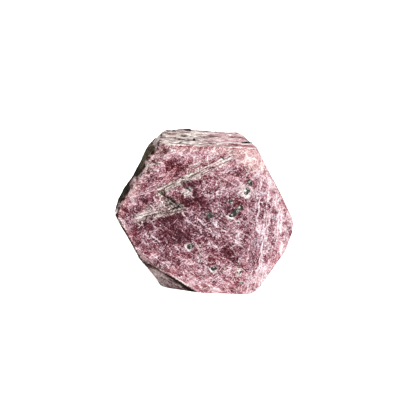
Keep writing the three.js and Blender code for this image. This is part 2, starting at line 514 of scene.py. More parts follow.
@dataclass
class RubyCrystal:
    """The crystal itself: cut to its faces, knocked, remeshed fine and given its surface."""

    stock_radius: float = 24.0
    voxel: float = 0.256
    fine_cuts: int = 1
    # The basal face and the top look past these limits along Y and Z, and are refined.
    basal_limit: float = -0.35
    top_limit: float = 0.85
    knock: Knock = field(default_factory=Knock)
    grit: Grit = field(default_factory=lambda: Grit(11))

    def blank(self) -> bpy.types.Object:
        """Cut the six-sided tablet from a stock prism, and knock its corner off.

        Returns:
            The closed, flat-faced blank.
        """
        Bench.clear_selection()
        bpy.ops.mesh.primitive_cylinder_add(
            vertices=6,
            radius=self.stock_radius * MM,
            depth=(BACK_Y - FRONT_Y) * MM,
            location=(AXIS_X * MM, 0.0, AXIS_Z * MM),
            rotation=(math.pi / 2, 0.0, 0.0),
        )
        stone = bpy.context.active_object
        stone.name = "ruby_stone"
        Bench.settle(stone)
        for facet in PRISM_FACES + WORN_FACES:
            log.debug("cutting: %s", facet.name)
            Bench.slice_off(stone, *facet.plane())
        Bench.slice_off(stone, Vector((0.0, 0.0, -SKIN * MM)), Vector((0.0, 0.0, -1.0)))
        for name, (x, y, z), outward in SKEW_CUTS:
            log.debug("cutting: %s", name)
            way = Vector(outward).normalized()
            Bench.slice_off(stone, (Vector((x + AXIS_X, y, z)) + way * SKIN) * MM, way)
        cutter = self.knock.cutter(self.grit)
        Bench.apply_modifier(stone, "knock", "BOOLEAN", operation="DIFFERENCE", object=cutter, solver="EXACT")
        bpy.data.objects.remove(cutter)
        return stone

    def build(self) -> bpy.types.Object:
        """Make the finished crystal mesh.

        Returns:
            The crystal, with its surface masks as attributes.
        """
        stone = self.blank()
        voxel = self.voxel * MM
        Bench.apply_modifier(stone, "skin", "REMESH", mode="VOXEL", voxel_size=voxel, adaptivity=0.0)
        self._refine(stone)
        self._shape(stone)
        return stone

    def _refine(self, stone: bpy.types.Object) -> None:
        """Split the faces of the basal face and the top once more."""
        normals = Bench.vectors(stone.data.polygons, "normal")
        Bench.select_faces(stone, (normals[:, 1] < self.basal_limit) | (normals[:, 2] > self.top_limit))
        with Bench.editing(stone, whole=False):
            bpy.ops.mesh.subdivide(number_cuts=self.fine_cuts)

    def _zones(self, points: np.ndarray, normals: np.ndarray) -> tuple[tuple[np.ndarray, "Zone"], ...]:
        """Share the surface out among the kinds of skin.

        Args:
            points: N by 3 places in millimetres.
            normals: Their directions.

        Returns:
            Each kind of skin, after the share of it that each point has.
        """
        beyond, y, facing = self.knock.beyond(points), points[:, 1], -normals[:, 1]
        broken = smooth_step(0.05, 0.35, beyond) * smooth_step(FRONT_Y + 0.25, FRONT_Y + 0.6, y)
        broken *= smooth_step(0.05, 0.45, facing)
        wall = smooth_step(-0.3, 0.0, beyond) * smooth_step(0.9, 0.5, beyond)
        wall *= smooth_step(FRONT_Y + 0.12, FRONT_Y + 0.3, y)
        wall *= smooth_step(FRONT_Y + 2.4, FRONT_Y + 2.0, y)
        broken = np.maximum(broken, wall)
        front = smooth_step(0.3, 0.7, facing) * (1.0 - broken)
        front *= smooth_step(FRONT_Y + 0.5, FRONT_Y + 0.2, y)
        back = smooth_step(0.55, 0.85, -facing)
        side = np.clip(1.0 - front - back - broken, 0.0, 1.0)
        return (
            (front, BasalFace(self.knock, self.grit)),
            (side, PrismSides(self.grit)),
            (back, BackFace(self.grit)),
            (broken, KnockFloor(self.knock, self.grit)),
        )

    def _shape(self, stone: bpy.types.Object) -> None:
        """Press the relief into the surface, and store the looks that the finish reads.

        Args:
            stone: The remeshed crystal.
        """
        points, normals = Bench.places(stone), Bench.vectors(stone.data.vertices, "normal")
        depth = np.zeros(len(points))
        looks = {look: np.zeros(len(points)) for look in Look}
        for share, zone in self._zones(points, normals):
            used = share > 0.0
            skin = zone.skin(points[used], normals[used])
            depth[used] += share[used] * skin.depth
            for look, value in skin.looks.items():
                looks[look][used] += share[used] * value
        standing = smooth_step(0.8, 0.97, -normals[:, 2]) * smooth_step(0.3, 0.1, points[:, 2])
        moved = points - normals * (depth * (1.0 - standing))[:, None]
        moved[:, 2] = np.maximum(moved[:, 2], 0.0)
        Bench.put(stone, moved)
        for look, value in looks.items():
            Bench.store(stone, look.value, value)
        Bench.take(stone)
        bpy.ops.object.shade_smooth()


# ---- The crystal's surface -----------------------------------------------------------------------


class Look(Enum):
    """What the finish reads at each point of the surface."""

    TONE = "tone"
    WARM = "warm"
    GREY = "grey"
    # Dark crust, and painted shade on the left sides, in the pit's crease and on the knock's wall.
    CRUST_AND_SHADE = "crust_and_shade"
    BASAL = "basal"
    LEDGES = "ledges"
    LEAN_UP = "lean_up"
    LEAN_DOWN = "lean_down"
    UPRIGHT = "upright"
    BLUSH = "blush"
    RISING_LINES = "rising_lines"
    SHALLOW_LINES = "shallow_lines"
    UPRIGHT_LINES = "upright_lines"


@dataclass
class Skin:
    """One kind of surface at each point: its depth below the blank in millimetres, and its looks."""

    depth: np.ndarray
    looks: dict[Look, np.ndarray | float]


class Zone(Protocol):
    """A part of the surface that has a skin of its own."""

    def skin(self, points: np.ndarray, normals: np.ndarray) -> Skin:
        """Work out the relief and the looks of this part of the surface.

        Args:
            points: N by 3 places in millimetres.
            normals: Their directions.

        Returns:
            The skin.
        """


@dataclass(frozen=True)
class Grain:
    """A grain of dark mineral in a face: its middle, half sizes and turn, and the pale rim round it."""

    x: float
    z: float
    half_long: float
    half_short: float
    turn: float = 0.0
    halo: float = 0.0
    halo_shift: Point2 = (0.0, 0.0)
    halo_strength: float = 0.3

    def away(self, points: np.ndarray, extra: float = 0.0, shift: Point2 = (0.0, 0.0)) -> np.ndarray:
        """Distance from the grain's middle, where 1 is its rim.

        Args:
            points: N by 3 places in millimetres.
            extra: How much larger the rim is drawn.
            shift: How far the rim's middle is moved.

        Returns:
            N distances.
        """
        dx, dz = points[:, 0] - self.x - shift[0], points[:, 2] - self.z - shift[1]
        along, across = turned(dx, dz, self.turn)
        return np.hypot(along / (self.half_long + extra), across / (self.half_short + extra))


FRONT_GRAINS = (
    Grain(7.92, 22.62, 0.40, 0.34, 65, 0.10, (-0.1, -0.1), 0.10),
    Grain(8.27, 22.24, 0.46, 0.36, 70, 0.10, (0.0, 0.0), 0.08),
    Grain(8.46, 21.86, 0.22, 0.24, 30),
    Grain(7.62, 21.28, 0.34, 0.22, 50),
    Grain(7.92, 20.84, 0.44, 0.36, 70, 0.98, (-0.50, -0.22), 0.30),
    Grain(7.52, 20.32, 0.40, 0.28, 20),
    Grain(-3.45, 20.82, 0.70, 0.28, 6),
    Grain(-3.17, 20.40, 0.26, 0.17, 10, 0.84, (-0.42, -0.36), 0.38),
    Grain(-4.41, 19.78, 0.20, 0.14, 40),
    Grain(-3.85, 20.22, 0.18, 0.12, 0),
    Grain(-3.66, 19.66, 0.18, 0.12, 20),
    Grain(4.72, 18.52, 0.50, 0.38, -12, 0.22, (0.0, -0.1), 0.12),
    Grain(6.48, 17.34, 0.66, 0.44, 42, 0.16, (-0.1, 0.12), 0.16),
    Grain(5.86, 16.66, 0.70, 0.52, 38, 0.12, (0.0, 0.0), 0.12),
    Grain(5.26, 16.00, 0.66, 0.44, 35, 0.16, (0.0, -0.1), 0.18),
    Grain(4.80, 15.72, 0.34, 0.30, 20, 0.40, (-0.1, -0.15), 0.32),
    Grain(0.44, 15.98, 0.36, 0.26, 20, 0.15, (-0.4, -0.4), 0.12),
    Grain(0.76, 15.42, 0.44, 0.32, -10),
    Grain(1.30, 15.50, 0.42, 0.32, -30, 0.10, (0.0, 0.0), 0.05),
    Grain(1.60, 15.88, 0.26, 0.20, 60),
    Grain(0.96, 16.08, 0.32, 0.24, 0),
    Grain(-2.36, 9.36, 0.76, 0.58, 10, 0.34, (-0.20, -0.16), 0.24),
    Grain(2.30, 5.08, 0.54, 0.42, 15, 0.34, (0.1, -0.26), 0.28),
    Grain(2.18, 4.72, 0.28, 0.26, -40),
    Grain(2.80, 5.02, 0.30, 0.20, 10),
    Grain(7.58, 4.56, 0.30, 0.18, 60, 0.58, (-0.42, -0.12), 0.22),
    Grain(6.95, 4.38, 0.20, 0.13, 60),
    Grain(7.30, 4.16, 0.16, 0.11, 0),
    Grain(8.01, 2.27, 0.38, 0.28, 0, 0.22, (-0.1, 0.05), 0.20),
    Grain(-0.32, 6.48, 0.20, 0.16, 30, 0.22, (0.0, 0.0), 0.22),
    Grain(2.60, 20.20, 0.22, 0.16, 90, 0.22, (0.0, 0.0), 0.15),
    Grain(2.75, 26.90, 0.38, 0.15, -40, 0.16, (-0.2, -0.2), 0.10),
    Grain(9.46, 15.10, 0.18, 0.26, 10, 0.20, (0.0, 0.0), 0.12),
    Grain(6.38, 14.50, 0.20, 0.22, 60, 0.26, (0.0, 0.0), 0.20),
    Grain(7.17, 6.58, 0.30, 0.17, -20, 0.12, (0.0, 0.1), 0.10),
    Grain(-6.60, 17.50, 0.38, 0.26, -20, 0.20, (0.2, 0.0), 0.10),
    Grain(-5.16, 17.56, 0.42, 0.24, -35),
    Grain(-4.52, 17.12, 0.42, 0.26, -28),
)


@dataclass(frozen=True)
class Patch:
    """A soft-edged ellipse on the basal face that darkens or lightens it."""

    x: float
    z: float
    half_long: float
    half_short: float
    turn: float
    strength: float

    def share(self, points: np.ndarray) -> np.ndarray:
        """How much of the patch each point has, from 0 to 1."""
        along, across = turned(points[:, 0] - self.x, points[:, 2] - self.z, self.turn)
        return np.exp(-((along / self.half_long) ** 2 + (across / self.half_short) ** 2))


TONE_PATCHES = (
    # Dark pools.
    Patch(-6.3, 25.0, 2.0, 1.2, -15, -0.24),
    Patch(-10.2, 22.4, 2.0, 1.1, 25, -0.15),
    Patch(-6.8, 14.7, 2.8, 1.1, 12, -0.28),
    Patch(-2.0, 11.8, 2.8, 2.0, -15, -0.20),
    Patch(-6.8, 10.0, 2.6, 3.0, 15, -0.22),
    Patch(-1.2, 18.0, 2.6, 2.4, -10, -0.28),
    Patch(0.8, 15.2, 1.7, 1.6, 0, -0.14),
    Patch(-5.2, 17.8, 2.8, 1.4, 20, -0.26),
    Patch(-11.0, 17.9, 1.8, 1.1, 20, -0.24),
    Patch(-14.2, 15.4, 2.0, 1.2, -10, -0.24),
    Patch(-11.3, 12.9, 2.5, 1.3, 0, -0.24),
    Patch(-12.0, 9.3, 2.0, 1.3, -20, -0.20),
    Patch(-3.5, 21.4, 1.6, 1.1, 20, -0.32),
    Patch(5.1, 17.8, 2.3, 1.4, 30, -0.28),
    Patch(7.9, 12.2, 1.2, 1.6, 20, -0.26),
    Patch(5.3, 8.0, 1.4, 2.5, 35, -0.30),
    Patch(4.9, 14.2, 0.8, 1.2, 0, -0.10),
    Patch(2.0, 4.9, 2.0, 1.0, 0, -0.15),
    Patch(6.2, 24.3, 1.7, 1.1, -20, -0.22),
    Patch(0.4, 24.8, 1.5, 1.6, 60, -0.14),
    Patch(11.8, 21.2, 0.9, 1.4, 10, -0.14),
    Patch(3.8, 1.6, 1.8, 0.7, -24, -0.20),
    Patch(-8.0, 4.2, 2.6, 1.0, -32, -0.22),
    Patch(-0.6, 14.2, 5.0, 4.6, 0, -0.10),
    # Pale fields.
    Patch(8.6, 26.8, 3.4, 2.3, -30, 0.28),
    Patch(-15.1, 20.0, 1.2, 1.5, 0, 0.28),
    Patch(-8.6, 21.9, 3.0, 0.8, 5, 0.14),
    Patch(-8.2, 26.8, 1.3, 1.2, 0, 0.16),
    Patch(-3.4, 27.4, 2.3, 1.1, -15, 0.22),
    Patch(3.4, 26.3, 3.6, 1.4, 12, 0.16),
    Patch(3.8, 23.5, 2.6, 1.4, -5, 0.24),
    Patch(6.2, 21.0, 1.3, 1.7, 0, 0.18),
    Patch(10.2, 20.3, 2.2, 0.9, 10, 0.18),
    Patch(12.0, 21.6, 1.3, 4.6, 27, 0.17),
    Patch(2.0, 17.1, 2.0, 0.9, 0, 0.18),
    Patch(-13.8, 17.4, 0.9, 1.4, 0, 0.22),
    Patch(-12.1, 14.9, 1.4, 0.8, 60, 0.26),
    Patch(-14.0, 13.4, 0.8, 1.6, 0, 0.20),
    Patch(1.8, 13.3, 2.8, 1.0, -20, 0.10),
    Patch(6.4, 12.6, 1.0, 3.4, 18, 0.18),
    Patch(9.4, 14.6, 1.3, 2.6, 0, 0.12),
    Patch(-8.8, 7.6, 1.1, 1.2, 0, 0.20),
    Patch(-2.4, 5.8, 3.0, 1.3, -20, 0.17),
    Patch(2.0, 2.2, 5.0, 1.2, 0, 0.21),
    Patch(10.6, 10.8, 1.3, 2.0, 0, 0.15),
    Patch(14.8, 12.6, 1.6, 4.6, -4, 0.13),
    Patch(12.4, 5.0, 1.5, 5.0, -30, 0.12),
    Patch(1.8, 28.4, 5.4, 0.8, 0, 0.17),
)


@dataclass(frozen=True)
class Band:
    """A band of fine parallel growth lines on the basal face, between two points."""

    start: Point2
    end: Point2
    half_width: float
    strength: float

    def angle(self) -> float:
        """The band's direction in degrees, from +X towards +Z."""
        return math.degrees(math.atan2(self.end[1] - self.start[1], self.end[0] - self.start[0]))

    def share(self, points: np.ndarray, fade: float = 1.2) -> np.ndarray:
        """How much of the band each point has, from 0 to 1.

        Args:
            points: N by 3 places in millimetres.
            fade: Length over which the band's ends fade out.

        Returns:
            N shares.
        """
        along, across, length = from_line(points, self.start, self.end)
        ends = smooth_step(-fade, fade / 2, along) * smooth_step(length + fade, length - fade / 2, along)
        middle = smooth_step(1.25 * self.half_width, 0.7 * self.half_width, np.abs(across))
        return self.strength * ends * middle


GROWTH_BANDS = {
    Look.RISING_LINES: (
        Band((-9.3, 19.75), (4.2, 27.2), 0.80, 1.0),
        Band((-15.0, 18.29), (-9.0, 20.85), 0.14, 0.5),
        Band((-4.0, 24.5), (2.6, 27.9), 0.35, 0.6),
    ),
    Look.SHALLOW_LINES: (
        Band((-13.0, 14.3), (-4.4, 17.0), 1.0, 1.0),
        Band((-11.2, 16.3), (-5.4, 18.1), 0.7, 0.8),
    ),
    Look.UPRIGHT_LINES: (
        Band((11.7, 18.4), (12.2, 9.8), 0.95, 0.60),
        Band((12.0, 10.6), (11.6, 3.2), 0.60, 0.40),
        Band((9.9, 23.5), (9.8, 15.0), 0.40, 0.40),
        Band((14.2, 16.0), (14.8, 10.4), 0.60, 0.32),
    ),
}


@dataclass(frozen=True)
class Mark:
    """A short pale line on the basal face, between two points."""

    start: Point2
    end: Point2
    half_width: float
    strength: float


@dataclass(frozen=True)
class Sight:
    """A square view, aimed a little lower than the camera, from pixels back to the basal face."""

    pixels: float = 416.0
    pixel_width: float = 0.13
    target: tuple[float, float, float] = (0.94, 0.0, 15.2)

    def place(self, pixel: Point2) -> Point2:
        """Find the place on the basal face that a pixel shows.

        Args:
            pixel: How far across and down the picture it lies.

        Returns:
            X and Z in millimetres, to a tenth by way of hundredths.
        """
        across, up, roll = np.radians([VIEW_AZIMUTH, VIEW_ELEVATION, VIEW_ROLL])
        level = np.array([math.cos(across), math.sin(across), 0.0])
        back = np.array([math.sin(across) * math.cos(up), -math.cos(across) * math.cos(up), math.sin(up)])
        upright = np.cross(back, level)
        right = level * math.cos(roll) + upright * math.sin(roll)
        top = upright * math.cos(roll) - level * math.sin(roll)
        zoom = VIEW_LENS / VIEW_SENSOR * self.pixels
        aside, down = (np.array(pixel) - self.pixels / 2) / zoom
        way = right * aside - top * down - back
        eye = np.array(self.target) + back * VIEW_DISTANCE
        met = eye + way * (FRONT_Y - eye[1]) / way[1]
        x, z = (round(round(float(value), 2), 1) for value in met[[0, 2]])
        return x, z

    def mark(self, start: Point2, end: Point2, width: float, strength: float) -> Mark:
        """Place a short pale line by the pixels of its ends.

        Args:
            start: The pixel where the line starts.
            end: The pixel where it ends.
            width: Half its width in pixels.
            strength: How pale it is, from 0 to 1.

        Returns:
            The line in millimetres.
        """
        return Mark(self.place(start), self.place(end), round(width * self.pixel_width, 2), strength)


sighted = Sight().mark

MARKS = (
    Mark((-14.1, 18.6), (-10.0, 20.6), 0.09, 0.35),
    sighted(start=(153.0, 196.0), end=(155.5, 200.3), width=1.0, strength=0.8),
    sighted(start=(193.8, 154.4), end=(194.4, 162.6), width=0.7, strength=0.6),
    sighted(start=(142.0, 220.0), end=(143.8, 226.0), width=1.0, strength=0.8),
    sighted(start=(143.8, 226.0), end=(147.3, 235.6), width=0.8, strength=0.7),
    sighted(start=(153.2, 225.0), end=(160.2, 232.0), width=0.7, strength=0.7),
    sighted(start=(152.0, 235.6), end=(159.0, 240.3), width=0.6, strength=0.6),
    sighted(start=(140.2, 246.2), end=(147.3, 250.9), width=0.6, strength=0.6),
    sighted(start=(142.6, 252.0), end=(150.8, 258.0), width=0.6, strength=0.7),
    sighted(start=(175.5, 254.4), end=(187.3, 260.3), width=0.6, strength=0.7),
    sighted(start=(166.0, 270.9), end=(187.3, 285.0), width=0.9, strength=0.7),
    sighted(start=(188.5, 232.0), end=(201.4, 235.6), width=0.6, strength=0.6),
    sighted(start=(181.4, 209.7), end=(187.3, 218.0), width=1.2, strength=0.8),
    sighted(start=(227.8, 233.2), end=(245.3, 249.0), width=0.7, strength=0.9),
    sighted(start=(209.0, 252.0), end=(218.4, 256.8), width=0.6, strength=0.6),
    sighted(start=(223.0, 259.0), end=(238.4, 263.8), width=0.6, strength=0.7),
    sighted(start=(240.7, 230.9), end=(251.3, 236.8), width=0.7, strength=0.9),
    Mark((10.2, 19.8), (10.1, 15.6), 0.11, 1.0),
    Mark((9.3, 15.6), (9.2, 12.9), 0.06, 0.5),
    Mark((11.9, 16.8), (11.6, 11.0), 0.09, 1.0),
    Mark((11.5, 16.2), (11.3, 11.2), 0.07, 0.7),
    Mark((10.5, 14.8), (10.6, 7.2), 0.06, 0.5),
    Mark((12.3, 15.6), (12.1, 10.8), 0.08, 0.8),
    Mark((11.4, 11.2), (10.9, 4.6), 0.10, 1.0),
    Mark((11.7, 9.6), (11.3, 5.2), 0.07, 0.5),
    Mark((14.0, 16.8), (14.1, 11.6), 0.06, 0.5),
    Mark((14.7, 16.4), (14.6, 12.6), 0.09, 0.8),
    Mark((13.2, 20.6), (13.3, 18.2), 0.08, 0.6),
    Mark((10.2, 23.8), (10.1, 21.3), 0.08, 0.7),
    sighted(start=(213.6, 190.9), end=(221.9, 195.6), width=0.5, strength=0.5),
    Mark((2.8, 17.1), (4.2, 15.6), 0.13, 0.9),
    sighted(start=(212.5, 207.4), end=(214.8, 217.6), width=0.6, strength=0.8),
    Mark((-1.6, 15.0), (0.2, 13.6), 0.08, 0.9),
    Mark((-0.6, 14.9), (0.4, 14.5), 0.07, 0.8),
    Mark((0.9, 13.2), (1.5, 12.3), 0.08, 0.9),
    Mark((1.5, 12.9), (3.2, 11.9), 0.08, 0.9),
    Mark((-1.4, 13.4), (-0.4, 12.2), 0.08, 0.8),
    Mark((0.2, 12.6), (1.0, 11.6), 0.07, 0.7),
    Mark((2.2, 14.6), (2.4, 13.2), 0.08, 0.9),
    Mark((-2.2, 14.2), (-1.2, 14.6), 0.07, 0.7),
    Mark((2.9, 13.4), (4.6, 12.4), 0.08, 0.7),
    Mark((4.1, 15.6), (5.8, 15.2), 0.14, 0.9),
    sighted(start=(186.0, 219.0), end=(204.0, 229.0), width=0.9, strength=0.6),
    sighted(start=(204.0, 229.0), end=(222.0, 236.0), width=0.9, strength=0.6),
    sighted(start=(222.0, 236.0), end=(240.0, 245.0), width=0.9, strength=0.6),
    sighted(start=(170.0, 228.0), end=(176.0, 236.0), width=0.6, strength=0.6),
    sighted(start=(160.0, 214.0), end=(150.0, 221.0), width=0.6, strength=0.7),
    sighted(start=(172.0, 243.0), end=(181.0, 251.0), width=0.6, strength=0.6),
    sighted(start=(196.0, 246.0), end=(203.0, 256.0), width=0.6, strength=0.6),
    sighted(start=(228.0, 246.0), end=(234.0, 258.0), width=0.6, strength=0.6),
    sighted(start=(250.0, 246.0), end=(247.0, 262.0), width=0.6, strength=0.6),
    sighted(start=(262.0, 248.0), end=(256.0, 262.0), width=0.5, strength=0.6),
    sighted(start=(185.0, 178.0), end=(189.0, 190.0), width=0.6, strength=0.5),
    sighted(start=(199.0, 172.0), end=(205.0, 184.0), width=0.6, strength=0.5),
    sighted(start=(220.0, 176.0), end=(232.0, 182.0), width=0.6, strength=0.6),
    sighted(start=(236.0, 176.0), end=(243.0, 186.0), width=0.6, strength=0.6),
    sighted(start=(146.0, 186.0), end=(152.0, 196.0), width=0.6, strength=0.5),
    sighted(start=(130.0, 205.0), end=(136.0, 214.0), width=0.6, strength=0.6),
    sighted(start=(124.0, 210.0), end=(131.0, 222.0), width=0.6, strength=0.5),
)


@dataclass(frozen=True)
class CrystalNet:
    """Interlocked small crystals: pale borders round sunken cells, drawn out in one direction."""

    angle: float
    stretch: float
    size: float
    salt: int
    border: float = 0.13

    def sample(self, points: np.ndarray, grit: Grit) -> tuple[np.ndarray, np.ndarray]:
        """Find the net's borders and cells.

        Args:
            points: N by 3 places in millimetres.
            grit: The noise that bends and breaks the borders.

        Returns:
            How much of a border each point has, from 0 to 1, and its cell's number from -1 to 1.
        """
        bends = [grit.layered(points, self.size, 2, self.salt + axis) for axis in (1, 2)]
        bent = points[:, [0, 2]] + 0.32 * self.size * np.stack(bends, axis=1)
        along, across = turned(bent[:, 0], bent[:, 1], self.angle)
        border, cell = grit.cells(np.stack([along / self.stretch, across], axis=1), self.size, self.salt)
        width = self.border * (1.0 + 0.6 * grit.noise(points, 1.1 * self.size, self.salt + 3))
        kept = smooth_step(-0.45, 0.0, grit.noise(points, 1.4 * self.size, self.salt + 4))
        return kept * smooth_step(1.0, 0.25, border / width), cell


NETS = (
    # The coarse and the fine net of the crystals that lean up, that lean down and that stand upright.
    (CrystalNet(RISING_ANGLE, 1.5, 1.05, 200), CrystalNet(RISING_ANGLE, 1.3, 0.52, 210, 0.09)),
    (CrystalNet(FALLING_ANGLE, 1.35, 1.15, 220), CrystalNet(FALLING_ANGLE, 1.2, 0.55, 230, 0.09)),
    (CrystalNet(STANDING_ANGLE, 1.8, 0.95, 240), CrystalNet(STANDING_ANGLE, 1.6, 0.48, 250, 0.09)),
)
NET_WEIGHTS = (1.0, 0.7)
LINE_LENGTH = 5.0  # How long the growth lines run before they fade into the next.
LINE_SPACING = 0.2
SCALE_CENTRE = (9.6, 30.2)  # The middle of the raised scale at the upper right corner, as X and Z.


@dataclass
class BasalFace:
    """The broad front face: mottled and veined, with growth lines, a pit and dark grains."""

    knock: Knock
    grit: Grit
    ground: float = 0.29
    pit_start: Point2 = (-4.25, 17.05)
    pit_end: Point2 = (-9.45, 20.15)
    pit_depth: float = 0.5
    pit_width: float = 2.4
    hairlines: int = 560
    hairline_seed: int = 907
    hairline_light: float = 0.46
    hairline_height: float = 0.03
    socket_depth: float = 0.12
    lip_height: float = 0.05
    left_end: float = -16.6

    def skin(self, points: np.ndarray, normals: np.ndarray) -> Skin:
        """Work out the face's relief and looks.

        Args:
            points: N by 3 places in millimetres.
            normals: Their directions.

        Returns:
            The skin.
        """
        grit = self.grit
        x, z = points[:, 0], points[:, 2]
        upright = smooth_step(6.5, 10.5, x + 0.8 * grit.noise(points, 4.0, 101))
        lean_up = smooth_step(17.5, 21.0, z + 1.5 * grit.noise(points, 4.0, 102)) * (1.0 - upright)
        lean_down = 1.0 - lean_up - upright
        rim = self._rim(points)
        depth = 0.09 * (0.5 + 0.5 * grit.layered(points, 5.0, 2, 1)) + 0.05
        tone = np.full(len(points), self.ground)
        for patch in TONE_PATCHES:
            tone += patch.strength * patch.share(points)
        tone -= (0.03 + 0.12 * smooth_step(3.0, 7.0, x)) * smooth_step(0.25, 0.6, normals[:, 2])
        # Painted light: the face is paler close to its edges, as where light glows through the rims.
        tone += 0.07 * smooth_step(1.8, 0.2, rim) + 0.05 * grit.layered(points, 3.0, 2, 110)
        for share, nets in zip((lean_up, lean_down, upright), NETS):
            for weight, net in zip(NET_WEIGHTS, nets):
                border, cell = net.sample(points, grit)
                tone += share * weight * (0.05 * border + 0.04 * cell)
                depth += share * weight * (0.04 * (1.0 - border) - 0.035 * cell)
        high = smooth_step(24.5, 26.5, z)
        inward = UPPER_LEFT.inside(points) - high + 0.5 * grit.noise(points, 1.2, 121)
        # Darker and browner towards the upper left edge, high on the face, with dark flecks.
        dark_upper_left_rim = smooth_step(1.7, 0.3, inward) * smooth_step(21.0, 24.0, z)
        tone -= (0.07 + 0.07 * high) * dark_upper_left_rim
        brown_rim = smooth_step(1.5, 0.5, 0.4 * grit.noise(points, 1.0, 123) - self.knock.beyond(points))
        brown_rim *= smooth_step(6.5, 8.5, self.knock.along(points))
        even_rim = smooth_step(3.2, 0.8, rim + 0.8 * grit.noise(points, 2.0, 122))
        even_rim *= 1.0 - lean_up * (1.0 - smooth_step(4.0, 9.0, x))
        light = self._hairlines(points, lean_up, upright)
        tone += self.hairline_light * light
        depth -= self.hairline_height * light
        looks = self._growth_lines(points, depth)
        pit, crease, brown_above_crease = self._pit(points)
        depth += pit + self._raised_scale(points)
        halo = self._sockets(points, depth)
        rising = looks[Look.RISING_LINES] * smooth_step(0.5, -3.5, x) * smooth_step(-9.6, -8.6, x)
        cream = np.maximum(0.6 * looks[Look.SHALLOW_LINES], rising)
        tone += 0.05 * cream
        tone += halo + 0.10 * smooth_step(0.0, 0.2, pit) * (1.0 - crease) + 0.14 * crease
        grey = 1.6 * halo + 0.5 * smooth_step(0.05, 0.25, pit) + 0.4 * cream
        grey = grey + 0.3 * dark_upper_left_rim + 0.5 * brown_rim
        flecks = 0.25 + 0.5 * smooth_step(0.0, 0.35, grit.layered(points, 0.42, 2, 120))
        rim_dark_flecks = dark_upper_left_rim * (1.0 - 0.7 * high) * flecks
        looks.update(
            {
                Look.TONE: tone,
                Look.WARM: self._warmth(points, rim),
                Look.GREY: np.clip(grey, 0.0, 1.0),
                # Painted shade in the pit's crease and along the left edges, a darker band above the crease,
                # and dark flecks by the upper left rim.
                Look.CRUST_AND_SHADE: np.maximum.reduce([1.3 * crease, brown_above_crease, self._edge_shade_and_crust(points), rim_dark_flecks]),
                Look.BLUSH: self._blush(points) - 0.3 * brown_rim,
                Look.BASAL: 1.0 - 0.45 * even_rim,
                Look.LEAN_UP: lean_up,
                Look.LEAN_DOWN: lean_down,
                Look.UPRIGHT: upright,
            }
        )
        return Skin(np.clip(depth, 0.0, None), looks)

    def _growth_lines(self, points: np.ndarray, depth: np.ndarray) -> dict[Look, np.ndarray]:
        """Press the bands of growth lines into the face.

        Args:
            points: N by 3 places in millimetres.
            depth: The face's relief, which is changed in place.

        Returns:
            How much of each kind of band each point has.
        """
        looks: dict[Look, np.ndarray] = {}
        for number, (look, bands) in enumerate(GROWTH_BANDS.items()):
            looks[look] = np.zeros(len(points))
            for band in bands:
                share = band.share(points)
                looks[look] = np.maximum(looks[look], share)
                along, across = turned(points[:, 0], points[:, 2], band.angle())
                drawn = np.stack([along / LINE_LENGTH, across / LINE_SPACING, 0.0 * along], axis=1)
                depth += share * (0.02 + 0.07 * self.grit.noise(drawn, 1.0, 60 + number))
        return looks

    def _sockets(self, points: np.ndarray, depth: np.ndarray) -> np.ndarray:
        """Press a socket with a low lip into the face for each dark grain.

        Args:
            points: N by 3 places in millimetres.
            depth: The face's relief, which is changed in place.

        Returns:
            How much of a pale halo each point has.
        """
        halo = np.zeros(len(points))
        ragged = 0.20 * self.grit.noise(points, 0.5, 95) + 0.12 * self.grit.noise(points, 0.25, 96)
        for grain in FRONT_GRAINS:
            near = grain.away(points)
            lip = smooth_step(0.35, 0.0, np.abs(near - 1.35))
            depth += self.socket_depth * smooth_step(1.25, 0.9, near) - self.lip_height * lip
            reach = grain.away(points, grain.halo, grain.halo_shift) + ragged
            halo = np.maximum(halo, grain.halo_strength * smooth_step(1.15, 0.85, reach))
        return halo

    def _edge_shade_and_crust(self, points: np.ndarray) -> np.ndarray:
        """Draw the thin dark line along the left edges: painted shade of the edges, partly dark crust.

        Args:
            points: N by 3 places in millimetres.

        Returns:
            How much of it each point has.
        """
        edge = UPPER_LEFT.inside(points) + smooth_step(17.0, 19.5, points[:, 2])
        edge = np.minimum.reduce([LOWER_LEFT.inside(points), edge, points[:, 0] - self.left_end])
        return 0.7 * smooth_step(0.42, 0.16, edge + 0.1 * self.grit.noise(points, 0.8, 97))

    def _warmth(self, points: np.ndarray, rim: np.ndarray) -> np.ndarray:
        """How salmon the pink is: most along the upper edges, where the salmon is painted light glowing
        through the thin rims.

        Args:
            points: N by 3 places in millimetres.
            rim: Distance of each from the nearest edge.

        Returns:
            N shares.
        """
        wander = 0.9 * self.grit.layered(points, 3.0, 2, 91)
        warm = 0.8 * smooth_step(2.4, 0.4, TOP.inside(points) + wander)
        warm = np.maximum(warm, 0.9 * smooth_step(6.0, 5.0, self._from_scale(points)))
        warm = np.maximum(warm, 0.6 * smooth_step(2.2, 0.2, UPPER_LEFT.inside(points) + wander))
        return np.maximum(warm, 0.35 * smooth_step(1.6, 0.1, rim + wander))

    def _blush(self, points: np.ndarray) -> np.ndarray:
        """How strong the pink is: least round the middle, at the far left and among the upright lines.

        Args:
            points: N by 3 places in millimetres.

        Returns:
            N shares.
        """
        blush = 0.42 + 0.25 * self.grit.layered(points, 3.5, 3, 98)
        for x, z, half_wide, half_high, strength in (
            (1.0, 14.0, 7.0, 7.0, -0.22),
            (-11.0, 15.0, 4.0, 5.0, -0.26),
            (10.0, 15.0, 3.0, 8.0, -0.16),
            (15.6, 12.0, 1.4, 8.0, 0.06),
            (-6.0, 24.5, 5.0, 3.0, 0.10),
            (-2.0, 3.0, 12.0, 3.0, 0.10),
        ):
            away = ((points[:, 0] - x) / half_wide) ** 2 + ((points[:, 2] - z) / half_high) ** 2
            blush += strength * np.exp(-away)
        return blush

